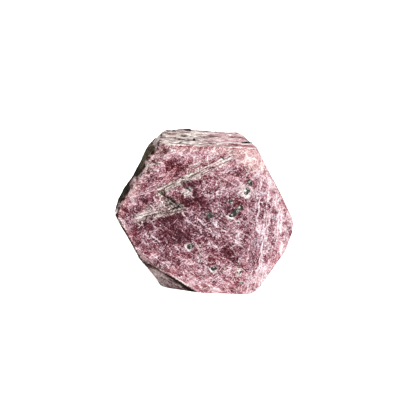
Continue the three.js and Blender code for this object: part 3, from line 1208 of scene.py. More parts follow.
    def _rim(self, points: np.ndarray) -> np.ndarray:
        """Find how far in from the edge of the face each point is.

        Args:
            points: N by 3 places in millimetres.

        Returns:
            N distances from the nearest edge.
        """
        nearest = np.minimum(points[:, 2], -self.knock.beyond(points))
        for facet in PRISM_FACES:
            nearest = np.minimum(nearest, facet.inside(points))
        return nearest

    def _hairlines(self, points: np.ndarray, lean_up: np.ndarray, upright: np.ndarray) -> np.ndarray:
        """Draw short straight pale lines that follow the way the small crystals lie.

        Args:
            points: N by 3 places in millimetres.
            lean_up: How much the crystals at each point lean upwards.
            upright: How much they stand upright.

        Returns:
            How light and raised each point gets, from 0 to 1.
        """
        draw = np.random.default_rng(self.hairline_seed)
        flat = points[:, [0, 2]]
        marks = list(MARKS)
        for _ in range(self.hairlines):
            at = np.array([draw.uniform(-16.0, 16.5), draw.uniform(0.5, 28.5)])
            nearest = int(np.argmin(np.sum((flat - at) ** 2, axis=1)))
            pick = draw.random()
            if pick < 0.15:
                angle = draw.uniform(0.0, 180.0)
            elif upright[nearest] > 0.5:
                angle = draw.normal(STANDING_ANGLE, 5.0) if pick < 0.75 else draw.normal(150.0, 8.0)
            elif lean_up[nearest] > 0.5:
                angle = draw.normal(RISING_ANGLE, 5.0) if pick < 0.65 else draw.normal(-40.0, 12.0)
            else:
                angle = draw.normal(FALLING_ANGLE, 8.0) if pick < 0.65 else draw.normal(35.0, 14.0)
            turn = math.radians(angle)
            reach = draw.uniform(0.3, 1.4) * np.array([math.cos(turn), math.sin(turn)])
            half_width, strength = draw.uniform(0.05, 0.09), draw.uniform(0.15, 0.7)
            marks.append(Mark(tuple(at - reach), tuple(at + reach), half_width, strength))
        light = np.zeros(len(points))
        for mark in marks:
            start, end = np.array(mark.start), np.array(mark.end)
            at, half_length = (start + end) / 2, float(np.linalg.norm(end - start)) / 2
            way = (end - start) / (2 * half_length)
            close = np.abs(flat - at).max(axis=1) < half_length + 0.4
            offset = flat[close] - at
            along, across = offset @ way, offset @ np.array([-way[1], way[0]])
            across = across + 0.08 * np.sin(along * 2.6 + 9.0 * at[0])
            share = smooth_step(1.6, 0.4, np.abs(across) / mark.half_width)
            share *= smooth_step(1.15, 0.75, np.abs(along) / half_length)
            light[close] = np.maximum(light[close], mark.strength * share)
        return light

    def _pit(self, points: np.ndarray) -> tuple[np.ndarray, np.ndarray, np.ndarray]:
        """Find the three-sided growth pit.

        Args:
            points: N by 3 places in millimetres.

        Returns:
            Its depth, the painted shade in its crease, and the darker brown band just above the crease.
        """
        along, away, length = from_line(points, self.pit_start, self.pit_end)
        away = away + 0.07 * self.grit.noise(points, 1.4, 31) + 0.03 * self.grit.noise(points, 0.5, 32)
        ends = smooth_step(-0.3, 0.3, along) * smooth_step(length + 0.5, length - 1.2, along)
        floor = np.clip(1.0 - away / self.pit_width, 0.0, 1.0)
        fade = 1.0 - 0.45 * smooth_step(0.0, length, along)
        depth = self.pit_depth * smooth_step(-0.04, 0.16, away) * floor * ends * fade
        half = 0.19 + 0.20 * smooth_step(2.4, 0.4, along) - 0.04 * smooth_step(3.0, length, along)
        # Painted shade: the crease under the step is drawn dark, as where the step's own shadow falls.
        crease = ends * smooth_step(1.0, 0.45, np.abs(away - 0.08) / half)
        above = smooth_step(-1.0, -0.1, away) * smooth_step(0.1, -0.1, away)
        brown_above_crease = 0.62 * above * ends * smooth_step(1.0, 2.6, along)
        return depth, crease, brown_above_crease

    @staticmethod
    def _from_scale(points: np.ndarray) -> np.ndarray:
        """How far each point is from the middle of the raised scale."""
        return np.hypot(points[:, 0] - SCALE_CENTRE[0], points[:, 2] - SCALE_CENTRE[1])

    def _raised_scale(self, points: np.ndarray) -> np.ndarray:
        """Depth outside the thin scale that stands proud at the upper right corner."""
        edge = self._from_scale(points) + 0.15 * self.grit.noise(points, 1.2, 71)
        return 0.10 * smooth_step(5.35, 5.6, edge) * smooth_step(9.5, 6.5, edge)


@dataclass
class PrismSides:
    """The six narrow sides, with ledges and fine lines that run round the crystal."""

    grit: Grit
    ground: float = 0.50
    # Round this direction from the axis, the clean strip of the left side reaches furthest back.
    clean_middle: float = 156.0
    clean_half: float = 4.5
    clean_reach: float = 2.8
    # Swells of the left side, which is painted dark as crust and shade: the direction from the axis, half the
    # spread in degrees, the height.
    swells: tuple[tuple[float, float, float], ...] = (
        (134.0, 7.0, 0.30),
        (154.0, 7.0, -0.20),
        (168.0, 5.0, 0.08),
    )

    def skin(self, points: np.ndarray, normals: np.ndarray) -> Skin:
        """Work out the sides' relief and looks.

        Args:
            points: N by 3 places in millimetres.
            normals: Their directions.

        Returns:
            The skin.
        """
        grit = self.grit
        x, y, z = points[:, 0], points[:, 1], points[:, 2]
        top = smooth_step(0.6, 0.9, normals[:, 2])
        left = smooth_step(0.35, 0.65, -normals[:, 0])
        drawn_out = np.array([7.0, 1.0, 7.0])
        bent = points.copy()
        bent[:, 1] += 0.5 * grit.noise(points, 3.5, 11)
        coarse = grit.noise(bent, drawn_out * (1.0, 1.5, 1.0), 12)
        ledges = 0.75 * np.floor(coarse * 3.0 + 0.5) / 3.0 + 0.25 * coarse
        middle = grit.noise(bent, drawn_out * (0.7, 0.6, 0.7), 13)
        fine = grit.noise(bent, drawn_out * (0.4, 0.25, 0.4), 14)
        lumps = 0.5 + 0.5 * grit.layered(points, 2.6, 3, 15)
        behind = top * smooth_step(1.0, 5.0, y)
        depth = -0.45 * behind * grit.layered(points, 2.4, 2, 80) - (0.13 + 0.10 * left) * ledges
        depth = depth - 0.06 * middle - 0.03 * fine + (0.14 + 0.3 * left) * (lumps - 0.5)
        depth *= 0.25 + 0.75 * smooth_step(0.0, 0.9, y - FRONT_Y)
        tone = self.ground + 0.10 * grit.layered(points, 5.0, 2, 81) + 0.12 * ledges + 0.10 * middle
        tone += top * (0.20 + 0.08 * grit.layered(points, 2.0, 2, 82))
        around = np.degrees(np.arctan2(z - AXIS_Z, x - AXIS_X))
        for centre, half, rise in self.swells:
            depth -= left * rise * bulge(around, centre, half)
        height = z + 0.6 * grit.layered(points, 2.2, 3, 90)
        depth += left * (0.36 * smooth_step(27.4, 27.8, height) - 0.25 * smooth_step(28.0, 29.0, z))
        depth -= 0.35 * behind * bulge(x, 5.6, 2.4)
        # Painted light: just behind the basal face's edge the sides are drawn paler and warmer, as where
        # light glows through the rim.
        near_front = smooth_step(1.1, 0.2, y - FRONT_Y + 0.5 * grit.layered(points, 1.6, 2, 87))
        mauve = smooth_step(-3.0, 5.0, x + 2.5 * grit.layered(points, 4.0, 2, 88))
        upper = smooth_step(0.1, 0.3, normals[:, 2])
        spread = bulge(around, self.clean_middle, self.clean_half)
        ragged = (1.4 - 0.7 * spread) * grit.layered(points, 1.2, 3, 85)
        clean = upper * smooth_step(-2.4, -5.6, y - self.clean_reach * spread + ragged)
        worn = left * smooth_step(27.6, 28.0, height)
        # The left sides are painted near black: partly dark crust, partly painted shade of sides that face
        # away from the light.
        crust_and_shade = left * (1.0 - 0.9 * clean) * (1.0 - 0.85 * worn)
        crust_and_shade += (1.0 - left) * (1.0 - top) * 0.7 * smooth_step(0.1, 0.5, grit.layered(points, 4.0, 3, 84))
        ribs, ribbed = self._ribs(points, normals)
        speckle = grit.layered(points, 0.7, 2, 89)
        shaded = 0.45 * speckle - 0.02 - 0.20 * smooth_step(22.5, 25.0, z)
        tone += left * upper * clean * shaded + ribbed * 0.12 * ribs
        # Painted light along the front rim of the sides.
        tone += 0.16 * near_front * (1.0 - left) * (1.0 - top)
        # Painted shade and crust: the left sides are drawn darker, less so high up.
        tone += left * (1.0 - clean) * (-0.12 + 0.34 * smooth_step(22.6, 24.6, z) + 0.12 * speckle)
        tone += top * (0.07 * smooth_step(-1.5, -4.5, y) - 0.05 * smooth_step(0.0, 4.0, y) - 0.10 * mauve)
        stained = smooth_step(0.15, 0.40, grit.layered(points, (1.0, 0.6, 1.0), 2, 130))
        tone -= 0.26 * top * (1.0 - mauve) * stained
        plain = 0.45 * (1.0 - left) * (1.0 - top) * (1.0 - near_front)
        warm = 0.8 * np.maximum(near_front, 0.7 * clean * left)
        grey = (0.75 - 0.5 * mauve) * top + (0.35 - 0.2 * left) * (1.0 - top)
        grey = grey + 0.5 * worn - 0.6 * near_front
        spots = left * clean * (0.25 + 0.45 * smooth_step(0.0, 0.35, -speckle)) * (1.0 - 0.6 * spread)
        crust_and_shade = crust_and_shade + spots + 0.17 * top * (1.0 - mauve)
        basal = 0.8 * np.maximum(left * clean, near_front * (1.0 - left)) + plain
        looks = {
            Look.TONE: tone + 0.05 * near_front - 0.10 * plain,
            Look.WARM: np.maximum(0.5 * (1.0 - top) * (1.0 - left), warm),
            Look.GREY: np.clip(grey, 0.0, 1.0),
            Look.CRUST_AND_SHADE: np.clip(crust_and_shade, 0.0, 1.0),
            Look.LEDGES: (0.6 + 0.4 * top) * (1.0 - 0.6 * left * (1.0 - worn)) * (1.0 - 0.6 * near_front),
            Look.BLUSH: 0.35 + 0.25 * mauve + 0.35 * left * clean,
            Look.BASAL: basal,
            Look.LEAN_UP: basal,
        }
        return Skin(depth + 0.06, looks)

    def _ribs(self, points: np.ndarray, normals: np.ndarray) -> tuple[np.ndarray, np.ndarray]:
        """Find the short ribs across the bevel of the upper left edge.

        Args:
            points: N by 3 places in millimetres.
            normals: Their directions.

        Returns:
            The ribs from -1 to 1, and how much each point belongs to the bevel.
        """
        along = points[:, 0] * 0.5 + points[:, 2] * 0.866
        ribs = self.grit.noise(np.stack([along / 0.32, 0 * along, 0 * along], axis=1), 1.0, 86)
        bevel = smooth_step(0.2, 0.5, -normals[:, 0]) * smooth_step(0.0, 0.2, normals[:, 2])
        return ribs, bevel * smooth_step(-3.4, -4.8, points[:, 1])


@dataclass
class BackFace:
    """The back: a low rough terrace, never cleaned, with curved steps."""

    grit: Grit
    ground: float = 0.40
    terrace_drop: float = 0.62
    # The terrace's edges: which way each looks, and how far it is from the axis.
    terrace: tuple[tuple[float, float], ...] = (
        (90.0, 12.0),
        (150.0, 12.9),
        (210.0, 10.7),
        (270.0, 10.6),
        (330.0, 12.1),
        (30.0, 10.9),
    )

    def skin(self, points: np.ndarray, normals: np.ndarray) -> Skin:
        """Work out the back's relief and looks.

        Args:
            points: N by 3 places in millimetres.
            normals: Their directions. Not used here.

        Returns:
            The skin.
        """
        grit = self.grit
        x, z = points[:, 0] - AXIS_X, points[:, 2] - AXIS_Z
        reach = np.full(len(points), -FAR)
        for angle, distance in self.terrace:
            reach = np.maximum(reach, turned(x, z, angle)[0] - distance)
        reach = reach + 0.5 * grit.layered(points, 2.5, 3, 21)
        depth = self.terrace_drop * smooth_step(-0.15, 0.15, reach)
        wander = 2.6 * grit.layered(points, 9.0, 2, 22) + 0.12 * x + 0.2 * z
        steps = wander * 1.1
        steps = np.floor(steps) + smooth_step(0.38, 0.62, steps - np.floor(steps))
        depth += 0.045 * (steps - steps.min())
        depth += 0.14 * (0.5 + 0.5 * grit.layered(points, 1.6, 4, 23))
        border, cell = CrystalNet(20, 1.3, 1.3, 260, 0.16).sample(points, grit)
        depth += 0.05 * (1.0 - border) - 0.03 * cell
        tone = self.ground + 0.22 * border + 0.08 * cell + 0.10 * grit.layered(points, 5.0, 3, 24)
        looks = {
            Look.TONE: tone,
            Look.GREY: 0.35 + 0.25 * grit.noise(points, 6.0, 25),
            Look.CRUST_AND_SHADE: 0.75 * smooth_step(0.05, 0.55, grit.layered(points, 5.0, 4, 26)),
            Look.LEAN_UP: 0.5,
            Look.LEAN_DOWN: 0.5,
            Look.BASAL: 0.7,
            Look.BLUSH: 0.4,
        }
        return Skin(np.clip(depth, 0.0, None), looks)


@dataclass
class KnockFloor:
    """The broken surface of the knock: a wall and its foot painted dark as shadow, and a mauve-brown floor.
    """

    knock: Knock
    grit: Grit
    ground: float = 0.56

    def skin(self, points: np.ndarray, normals: np.ndarray) -> Skin:
        """Work out the knock's relief and looks.

        Args:
            points: N by 3 places in millimetres.
            normals: Their directions. Not used here.

        Returns:
            The skin.
        """
        grit = self.grit
        beyond = self.knock.beyond(points) + 0.12 * grit.noise(points, 1.5, 52)
        along = self.knock.along(points)
        foot = 0.34 + 0.22 * smooth_step(6.5, 2.5, along) - 0.12 * smooth_step(6.0, 9.5, along)
        # Painted shadow: the wall and the floor at its foot are drawn dark, where the edge above shades them.
        wall_shadow = smooth_step(foot + 0.35, foot - 0.15, beyond)
        wall_shadow *= 1.0 - 0.35 * smooth_step(6.2, 7.4, along) * (0.6 + 0.4 * grit.noise(points, 0.5, 55))
        # Painted shade: a dark line along the lower left edge.
        edge = LOWER_LEFT.inside(points) + 0.15 * grit.noise(points, 0.7, 57)
        outline = 0.5 * smooth_step(0.45, 0.15, edge)
        depth = 0.06 * (0.5 + 0.5 * grit.layered(points, 0.9, 3, 51))
        drawn = np.stack([along / 2.2, beyond / 0.35, points[:, 1] / 0.6], axis=1)
        tone = self.ground + 0.16 * grit.layered(points, 1.2, 3, 53) - 0.22 * smooth_step(7.5, 4.0, along)
        # A painted shadow also darkens the floor just beyond the foot.
        tone += 0.26 * grit.layered(drawn, 1.0, 2, 56) - 0.20 * smooth_step(foot + 0.9, foot, beyond)
        tone -= 0.10 * smooth_step(6.0, 8.5, along)
        looks = {
            Look.TONE: tone,
            Look.GREY: 0.6,
            Look.CRUST_AND_SHADE: np.maximum.reduce([wall_shadow, outline, 0.16 + 0.2 * grit.noise(points, 2.0, 54)]),
            Look.BASAL: 0.45,
            Look.LEAN_DOWN: 0.45,
        }
        return Skin(depth, looks)


# ---- Finishes ------------------------------------------------------------------------------------


class Sheet:
    """A node tree with short ways to add its nodes."""

    def __init__(self, tree: bpy.types.NodeTree) -> None:
        """Keep the tree that nodes are added to."""
        self.tree = tree

    def add(self, kind: str, **settings: object) -> bpy.types.Node:
        """Add a node and set its properties."""
        node = self.tree.nodes.new(kind)
        for key, value in settings.items():
            setattr(node, key, value)
        return node

    def feed(self, socket: Socket, value: object) -> None:
        """Link a socket into an input, or set the input to a number or colour."""
        if isinstance(value, bpy.types.NodeSocket):
            self.tree.links.new(value, socket)
        else:
            socket.default_value = value

    def math(self, operation: str, first: object, second: object = 0.0, clamp: bool = False) -> Socket:
        """Add a Math node.

        Args:
            operation: Blender's name for what it does.
            first: Its first value, a socket or a number.
            second: Its second value.
            clamp: Whether the result is held between 0 and 1.

        Returns:
            The result.
        """
        node = self.add("ShaderNodeMath", operation=operation, use_clamp=clamp)
        self.feed(node.inputs[0], first)
        self.feed(node.inputs[1], second)
        return node.outputs[0]

    def times(self, first: object, second: object) -> Socket:
        """Multiply two values."""
        return self.math("MULTIPLY", first, second)

    def plus(self, ground: object, share: object, amount: float) -> Socket:
        """Add a share of an amount to a value."""
        return self.math("ADD", ground, self.times(share, amount))

    def span(
        self, value: object, low: float, high: float, to_low: float = 0.0, to_high: float = 1.0
    ) -> Socket:
        """Map one range smoothly on to another, and hold the ends.

        Args:
            value: What to map.
            low: Where the first range starts.
            high: Where it ends; it may be below low.
            to_low: What low turns into.
            to_high: What high turns into.

        Returns:
            The mapped value.
        """
        node = self.add("ShaderNodeMapRange", interpolation_type="SMOOTHSTEP")
        names = ("Value", "From Min", "From Max", "To Min", "To Max")
        for name, number in zip(names, (value, low, high, to_low, to_high)):
            self.feed(node.inputs[name], number)
        return node.outputs[0]

    def blend(self, share: object, first: object, second: object) -> Socket:
        """Blend two colours.

        Args:
            share: How much of the second there is.
            first: The first colour.
            second: The second colour.

        Returns:
            The blend.
        """
        node = self.add("ShaderNodeMix", data_type="RGBA")
        for place, value in ((0, share), (6, first), (7, second)):
            self.feed(node.inputs[place], value)
        return node.outputs[2]

    def ramp(self, value: Socket, stops: Stops) -> Socket:
        """Add a colour ramp.

        Args:
            value: What picks the colour, from 0 to 1.
            stops: Each stop's place and colour.

        Returns:
            The colour.
        """
        node = self.add("ShaderNodeValToRGB")
        elements = node.color_ramp.elements
        for index, (place, colour) in enumerate(stops):
            element = elements[index] if index < 2 else elements.new(place)
            element.position = place
            element.color = (*colour, 1.0)
        self.feed(node.inputs[0], value)
        return node.outputs[0]

    def attribute(self, name: str) -> Socket:
        """Read a number stored on the mesh."""
        return self.add("ShaderNodeAttribute", attribute_name=name).outputs["Fac"]

    def look(self, look: Look) -> Socket:
        """Read one of the looks stored on the mesh."""
        return self.attribute(look.value)

    def scaled(self, vector: Socket, by: object) -> Socket:
        """Scale a vector evenly by a number."""
        node = self.add("ShaderNodeVectorMath", operation="SCALE")
        self.feed(node.inputs[0], vector)
        self.feed(node.inputs["Scale"], by)
        return node.outputs[0]

    def moved(self, vector: Socket, by: object, operation: str = "ADD") -> Socket:
        """Add something to a vector, or take it away.

        Args:
            vector: The vector.
            by: A vector, or the three numbers of one.
            operation: ADD or SUBTRACT.

        Returns:
            The new vector.
        """
        node = self.add("ShaderNodeVectorMath", operation=operation)
        self.feed(node.inputs[0], vector)
        self.feed(node.inputs[1], by)
        return node.outputs[0]

    def millimetres(self) -> Socket:
        """The place on the piece, in millimetres."""
        return self.scaled(self.add("ShaderNodeTexCoord").outputs["Object"], 1.0 / MM)

    def noise(
        self, place: Socket, scale: object, detail: float = 2.0, roughness: float = 0.5
    ) -> bpy.types.Node:
        """Add a noise texture.

        Args:
            place: Where it is read.
            scale: How many lumps there are to a unit.
            detail: How many finer layers it has.
            roughness: How strong the finer layers are.

        Returns:
            The texture's node, for its Fac or its Color.
        """
        node = self.add("ShaderNodeTexNoise")
        values = {"Vector": place, "Scale": scale, "Detail": detail, "Roughness": roughness}
        for name, value in values.items():
            self.feed(node.inputs[name], value)
        return node

    def group(self, tree: bpy.types.NodeTree, **values: object) -> Socket:
        """Place a node group, fill its inputs and return its result."""
        node = self.add("ShaderNodeGroup", node_tree=tree)
        for name, value in values.items():
            self.feed(node.inputs[name], value)
        return node.outputs[0]


class Patterns:
    """The patterns that more than one finish uses, as node groups."""

    def __init__(self) -> None:
        """Build each group once."""
        self.veins = self._veins()
        self.threads = self._threads()
        self.needles = self._needles()
        self.ledges = self._ledges()
        self.mottle = self._mottle()

    @staticmethod
    def _start(name: str, numbers: dict[str, float], result: str) -> tuple[Sheet, bpy.types.Node, Socket]:
        """Make a group with a Vector input, number inputs and one number out.

        Args:
            name: The group's name.
            numbers: Default of each number input, by its name.
            result: Name of the output.

        Returns:
            The sheet, the input node and the socket that takes the result.
        """
        tree = bpy.data.node_groups.new(name, "ShaderNodeTree")
        tree.interface.new_socket("Vector", in_out="INPUT", socket_type="NodeSocketVector")
        for label, default in numbers.items():
            made = tree.interface.new_socket(label, in_out="INPUT", socket_type="NodeSocketFloat")
            made.default_value = default
        tree.interface.new_socket(result, in_out="OUTPUT", socket_type="NodeSocketFloat")
        sheet = Sheet(tree)
        entry, leave = sheet.add("NodeGroupInput"), sheet.add("NodeGroupOutput")
        return sheet, entry, leave.inputs[0]

    @staticmethod
    def _drawn_out(sheet: Sheet, entry: bpy.types.Node, sizes: Sequence[object]) -> Socket:
        """Turn the group's Vector by its Angle in the XZ plane, then divide each axis.

        Args:
            sheet: The group's nodes.
            entry: The group's input node.
            sizes: What each axis is divided by: along the lines, along Y, across the lines.

        Returns:
            The new vector.
        """
        turned = sheet.add("ShaderNodeVectorRotate", rotation_type="Y_AXIS")
        sheet.feed(turned.inputs["Vector"], entry.outputs["Vector"])
        sheet.feed(turned.inputs["Angle"], sheet.math("RADIANS", entry.outputs["Angle"]))
        apart = sheet.add("ShaderNodeSeparateXYZ")
        sheet.feed(apart.inputs[0], turned.outputs[0])
        packed = sheet.add("ShaderNodeCombineXYZ")
        for axis, size in enumerate(sizes):
            sheet.feed(packed.inputs[axis], sheet.math("DIVIDE", apart.outputs[axis], size))
        return packed.outputs[0]

    @classmethod
    def _stretched(cls, sheet: Sheet, entry: bpy.types.Node) -> Socket:
        """Turn the group's Vector, divide it by Size, and draw it out by Stretch."""
        size = entry.outputs["Size"]
        longer = sheet.times(size, entry.outputs["Stretch"])
        return cls._drawn_out(sheet, entry, (longer, size, size))

    def _veins(self) -> bpy.types.NodeTree:
        """Make small crystals: pale broken borders, and cells that are each a little darker or lighter.

        Returns:
            The group.
        """
        sizes = {"Angle": 0.0, "Stretch": 1.3, "Size": 1.0, "Width": 0.08, "Warp": 0.2, "Patchy": 0.3}
        sheet, entry, leave = self._start("small_crystals", sizes, "Value")
        place = self._stretched(sheet, entry)
        bent = sheet.noise(place, 0.9, 3.0)
        centred = sheet.moved(bent.outputs["Color"], (0.5, 0.5, 0.5), "SUBTRACT")
        moved = sheet.moved(place, sheet.scaled(centred, entry.outputs["Warp"]))
        borders = sheet.add("ShaderNodeTexVoronoi", feature="DISTANCE_TO_EDGE")
        cells = sheet.add("ShaderNodeTexVoronoi", feature="F1")
        for texture in (borders, cells):
            sheet.feed(texture.inputs["Vector"], moved)
            texture.inputs["Scale"].default_value = 1.0
        near = sheet.math("DIVIDE", borders.outputs["Distance"], entry.outputs["Width"])
        lines = sheet.span(near, 1.0, 0.1)
        gaps = sheet.noise(place, 0.8)
        kept = sheet.span(gaps.outputs["Fac"], 0.40, 0.62, 0.15, 1.0)
        tones = sheet.add("ShaderNodeSeparateColor")
        sheet.feed(tones.inputs[0], cells.outputs["Color"])
        patch = sheet.times(sheet.math("SUBTRACT", tones.outputs[0], 0.5), entry.outputs["Patchy"])
        sheet.feed(leave, sheet.math("ADD", sheet.times(lines, kept), patch))
        return sheet.tree

    def _threads(self) -> bpy.types.NodeTree:
        """Make thin pale threads that wander, cross and break off.

        Returns:
            The group.
        """
        sizes = {"Angle": 0.0, "Stretch": 1.3, "Size": 1.0, "Width": 0.03}
        sheet, entry, leave = self._start("threads", sizes, "Lines")
        place = self._stretched(sheet, entry)
        folded = sheet.noise(place, 1.0, 3.0, 0.6)
        away = sheet.math("ABSOLUTE", sheet.math("SUBTRACT", folded.outputs["Fac"], 0.5))
        lines = sheet.span(sheet.math("DIVIDE", away, entry.outputs["Width"]), 1.0, 0.15)
        gaps = sheet.noise(place, 0.57, 2.0)
        sheet.feed(leave, sheet.times(lines, sheet.span(gaps.outputs["Fac"], 0.38, 0.6, 0.1, 1.0)))
        return sheet.tree

    def _needles(self) -> bpy.types.NodeTree:
        """Make fine straight lines of one direction in the XZ plane.

        Returns:
            The group.
        """
        sizes = {"Angle": 0.0, "Spacing": 0.3, "Length": 3.0, "Level": 0.6, "Soft": 0.05}
        sheet, entry, leave = self._start("needles", sizes, "Lines")
        place = self._drawn_out(sheet, entry, (entry.outputs["Length"], 2.0, entry.outputs["Spacing"]))
        self._lines(sheet, entry, place, leave)
        return sheet.tree

    def _ledges(self) -> bpy.types.NodeTree:
        """Make fine lines that run round the crystal, thin along its axis.

        Returns:
            The group.
        """
        sizes = {"Spacing": 0.3, "Length": 3.0, "Level": 0.5, "Soft": 0.05}
        sheet, entry, leave = self._start("ledge_lines", sizes, "Lines")
        apart = sheet.add("ShaderNodeSeparateXYZ")
        sheet.feed(apart.inputs[0], entry.outputs["Vector"])
        packed = sheet.add("ShaderNodeCombineXYZ")
        for axis, size in enumerate(("Length", "Spacing", "Length")):
            sheet.feed(packed.inputs[axis], sheet.math("DIVIDE", apart.outputs[axis], entry.outputs[size]))
        self._lines(sheet, entry, packed.outputs[0], leave)
        return sheet.tree

    @staticmethod
    def _lines(sheet: Sheet, entry: bpy.types.Node, place: Socket, leave: Socket) -> None:
        """Keep the crests of a drawn-out noise as lines.

        Args:
            sheet: The group's nodes.
            entry: The group's input node.
            place: Where the noise is read.
            leave: The socket that takes the lines.
        """
        streaks = sheet.noise(place, 1.0, 2.0, 0.6)
        above = sheet.math("SUBTRACT", streaks.outputs["Fac"], entry.outputs["Level"])
        sheet.feed(leave, sheet.span(sheet.math("DIVIDE", above, entry.outputs["Soft"]), -1.0, 1.0))

    def _mottle(self) -> bpy.types.NodeTree:
        """Make cloudy variation about 0.

        Returns:
            The group.
        """
        sheet, entry, leave = self._start("mottle", {"Scale": 1.0, "Amount": 0.2}, "Value")
        cloud = sheet.noise(entry.outputs["Vector"], entry.outputs["Scale"], 4.0, 0.62)
        centred = sheet.math("SUBTRACT", cloud.outputs["Fac"], 0.5)
        amount = sheet.times(entry.outputs["Amount"], 4.0)
        sheet.feed(leave, sheet.times(centred, amount))
        return sheet.tree


@dataclass(frozen=True)
class RubyFinish:
    """Opaque cloudy ruby: maroon to white in a vein net, warm rims painted as light glowing through the
    edges, grey growth lines, dark crust that also paints shade.
    """

    body: Stops = (
        (0.0, linear(46, 6, 16)),
        (0.15, linear(72, 26, 38)),
        (0.26, linear(96, 50, 62)),
        (0.40, linear(128, 91, 103)),
        (0.52, linear(159, 125, 136)),
        (0.64, linear(185, 158, 169)),
        (0.78, linear(212, 194, 204)),
        (1.0, linear(243, 239, 245)),
    )
    rose: Stops = (
        (0.0, linear(52, 0, 6)),
        (0.15, linear(88, 16, 26)),
        (0.26, linear(120, 37, 47)),
        (0.40, linear(159, 78, 86)),
        (0.52, linear(191, 111, 119)),
        (0.64, linear(215, 149, 156)),
        (0.78, linear(231, 187, 192)),
        (1.0, linear(250, 235, 237)),
    )
    warm: Stops = (
        (0.0, linear(60, 14, 14)),
        (0.26, linear(104, 50, 54)),
        (0.5, linear(174, 120, 122)),
        (0.7, linear(216, 168, 164)),
        (1.0, linear(255, 242, 236)),
    )
    grey: Stops = (
        (0.0, linear(24, 18, 18)),
        (0.3, linear(90, 66, 66)),
        (0.6, linear(166, 148, 142)),
        (0.8, linear(216, 203, 194)),
        (1.0, linear(254, 250, 245)),
    )
    # Dark crust; the same colours also paint shade on the left sides, in the pit's crease and on the knock's
    # wall.
    crust_and_shade: Stops = (
        (0.0, linear(10, 8, 3)),
        (0.45, linear(42, 34, 20)),
        (0.7, linear(72, 61, 45)),
        (1.0, linear(150, 134, 118)),
    )
    warm_share: float = 0.75
    specular: float = 0.12
    coat: float = 0.06
    coat_roughness: float = 0.25
    bump_strength: float = 0.4
    bump_height: float = 0.08

    def make(self, patterns: Patterns) -> bpy.types.Material:
        """Build the material.

        Args:
            patterns: The shared pattern groups.

        Returns:
            The finished material.
        """
        material = bpy.data.materials.new("cloudy_ruby")
        material.use_nodes = True
        sheet = Sheet(material.node_tree)
        shader = material.node_tree.nodes["Principled BSDF"]
        place = sheet.millimetres()
        tone = self._tone(sheet, patterns, place)
        grey = sheet.look(Look.GREY)
        for look, share in ((Look.RISING_LINES, 0.5), (Look.SHALLOW_LINES, 0.5)):
            grey = sheet.plus(grey, sheet.look(look), share)
        pale = sheet.span(tone, 0.36, 0.62)
        pale = sheet.times(pale, sheet.span(sheet.look(Look.UPRIGHT), 0.0, 1.0, 1.0, 0.3))
        for scale, low, high in ((0.5, 0.5, 0.75), (2.6, 0.5, 0.8)):
            cloud = sheet.span(sheet.noise(place, scale, 2.0).outputs["Fac"], low, high)
            grey = sheet.plus(grey, sheet.times(cloud, pale), 0.6)
        grey = sheet.math("MINIMUM", grey, 1.0)
        colour = sheet.ramp(tone, self.body)
        blush = sheet.look(Look.BLUSH)
        elsewhere = sheet.moved(place, (31.0, 31.0, 31.0))
        for scale in (0.8, 2.4):
            cloud = sheet.group(patterns.mottle, Vector=elsewhere, Scale=scale, Amount=0.30)
            blush = sheet.math("ADD", blush, cloud, clamp=True)
        colour = sheet.blend(blush, colour, sheet.ramp(tone, self.rose))
        warmth = sheet.times(sheet.look(Look.WARM), self.warm_share)
        colour = sheet.blend(warmth, colour, sheet.ramp(tone, self.warm))
        colour = sheet.blend(grey, colour, sheet.ramp(tone, self.grey))
        grains = sheet.math("SUBTRACT", sheet.noise(place, 2.6, 3.0, 0.65).outputs["Fac"], 0.5)
        # Crust colour: partly real crust, partly painted shade.
        crust_and_shade = sheet.span(sheet.plus(sheet.look(Look.CRUST_AND_SHADE), grains, 1.7), 0.32, 0.68)
        colour = sheet.blend(crust_and_shade, colour, sheet.ramp(tone, self.crust_and_shade))
        sheet.feed(shader.inputs["Base Color"], colour)
        rough = sheet.span(tone, 0.0, 1.0, 0.45, 0.68)
        sheet.feed(shader.inputs["Roughness"], sheet.math("MAXIMUM", rough, crust_and_shade))
        shader.inputs["Specular IOR Level"].default_value = self.specular
        sheet.feed(shader.inputs["Coat Weight"], sheet.times(sheet.look(Look.BASAL), self.coat))
        shader.inputs["Coat Roughness"].default_value = self.coat_roughness
        bump = sheet.add("ShaderNodeBump")
        bump.inputs["Strength"].default_value = self.bump_strength
        bump.inputs["Distance"].default_value = self.bump_height * MM
        sheet.feed(bump.inputs["Height"], tone)
        sheet.feed(shader.inputs["Normal"], bump.outputs[0])
        return material

    def _tone(self, sheet: Sheet, patterns: Patterns, place: Socket) -> Socket:
        """Add the finest veins, needles and lines to the stored tone.

        Args:
            sheet: The material's nodes.
            patterns: The shared pattern groups.
            place: The place on the piece in millimetres.

        Returns:
            The tone, from 0 for the darkest to 1 for the palest.
        """
        tone = sheet.look(Look.TONE)
        deep = sheet.span(tone, 0.62, 0.26, 0.25, 1.0)
        calm = sheet.span(tone, -0.08, 0.28, 0.55, 1.0)
        for scale, amount in ((0.8, 0.04), (2.2, 0.05), (5.5, 0.11), (11.0, 0.20)):
            cloud = sheet.group(patterns.mottle, Vector=place, Scale=scale, Amount=amount)
            tone = sheet.math("ADD", tone, cloud)
        basal = sheet.look(Look.BASAL)

        def needles(angle: float, length: float, spacing: float, level: float, soft: float) -> Socket:
            """Draw fine straight lines: their direction, their size, how few they are and how soft."""
            sizes = {"Length": length, "Spacing": spacing, "Level": level, "Soft": soft}
            return sheet.group(patterns.needles, Vector=place, Angle=angle, **sizes)

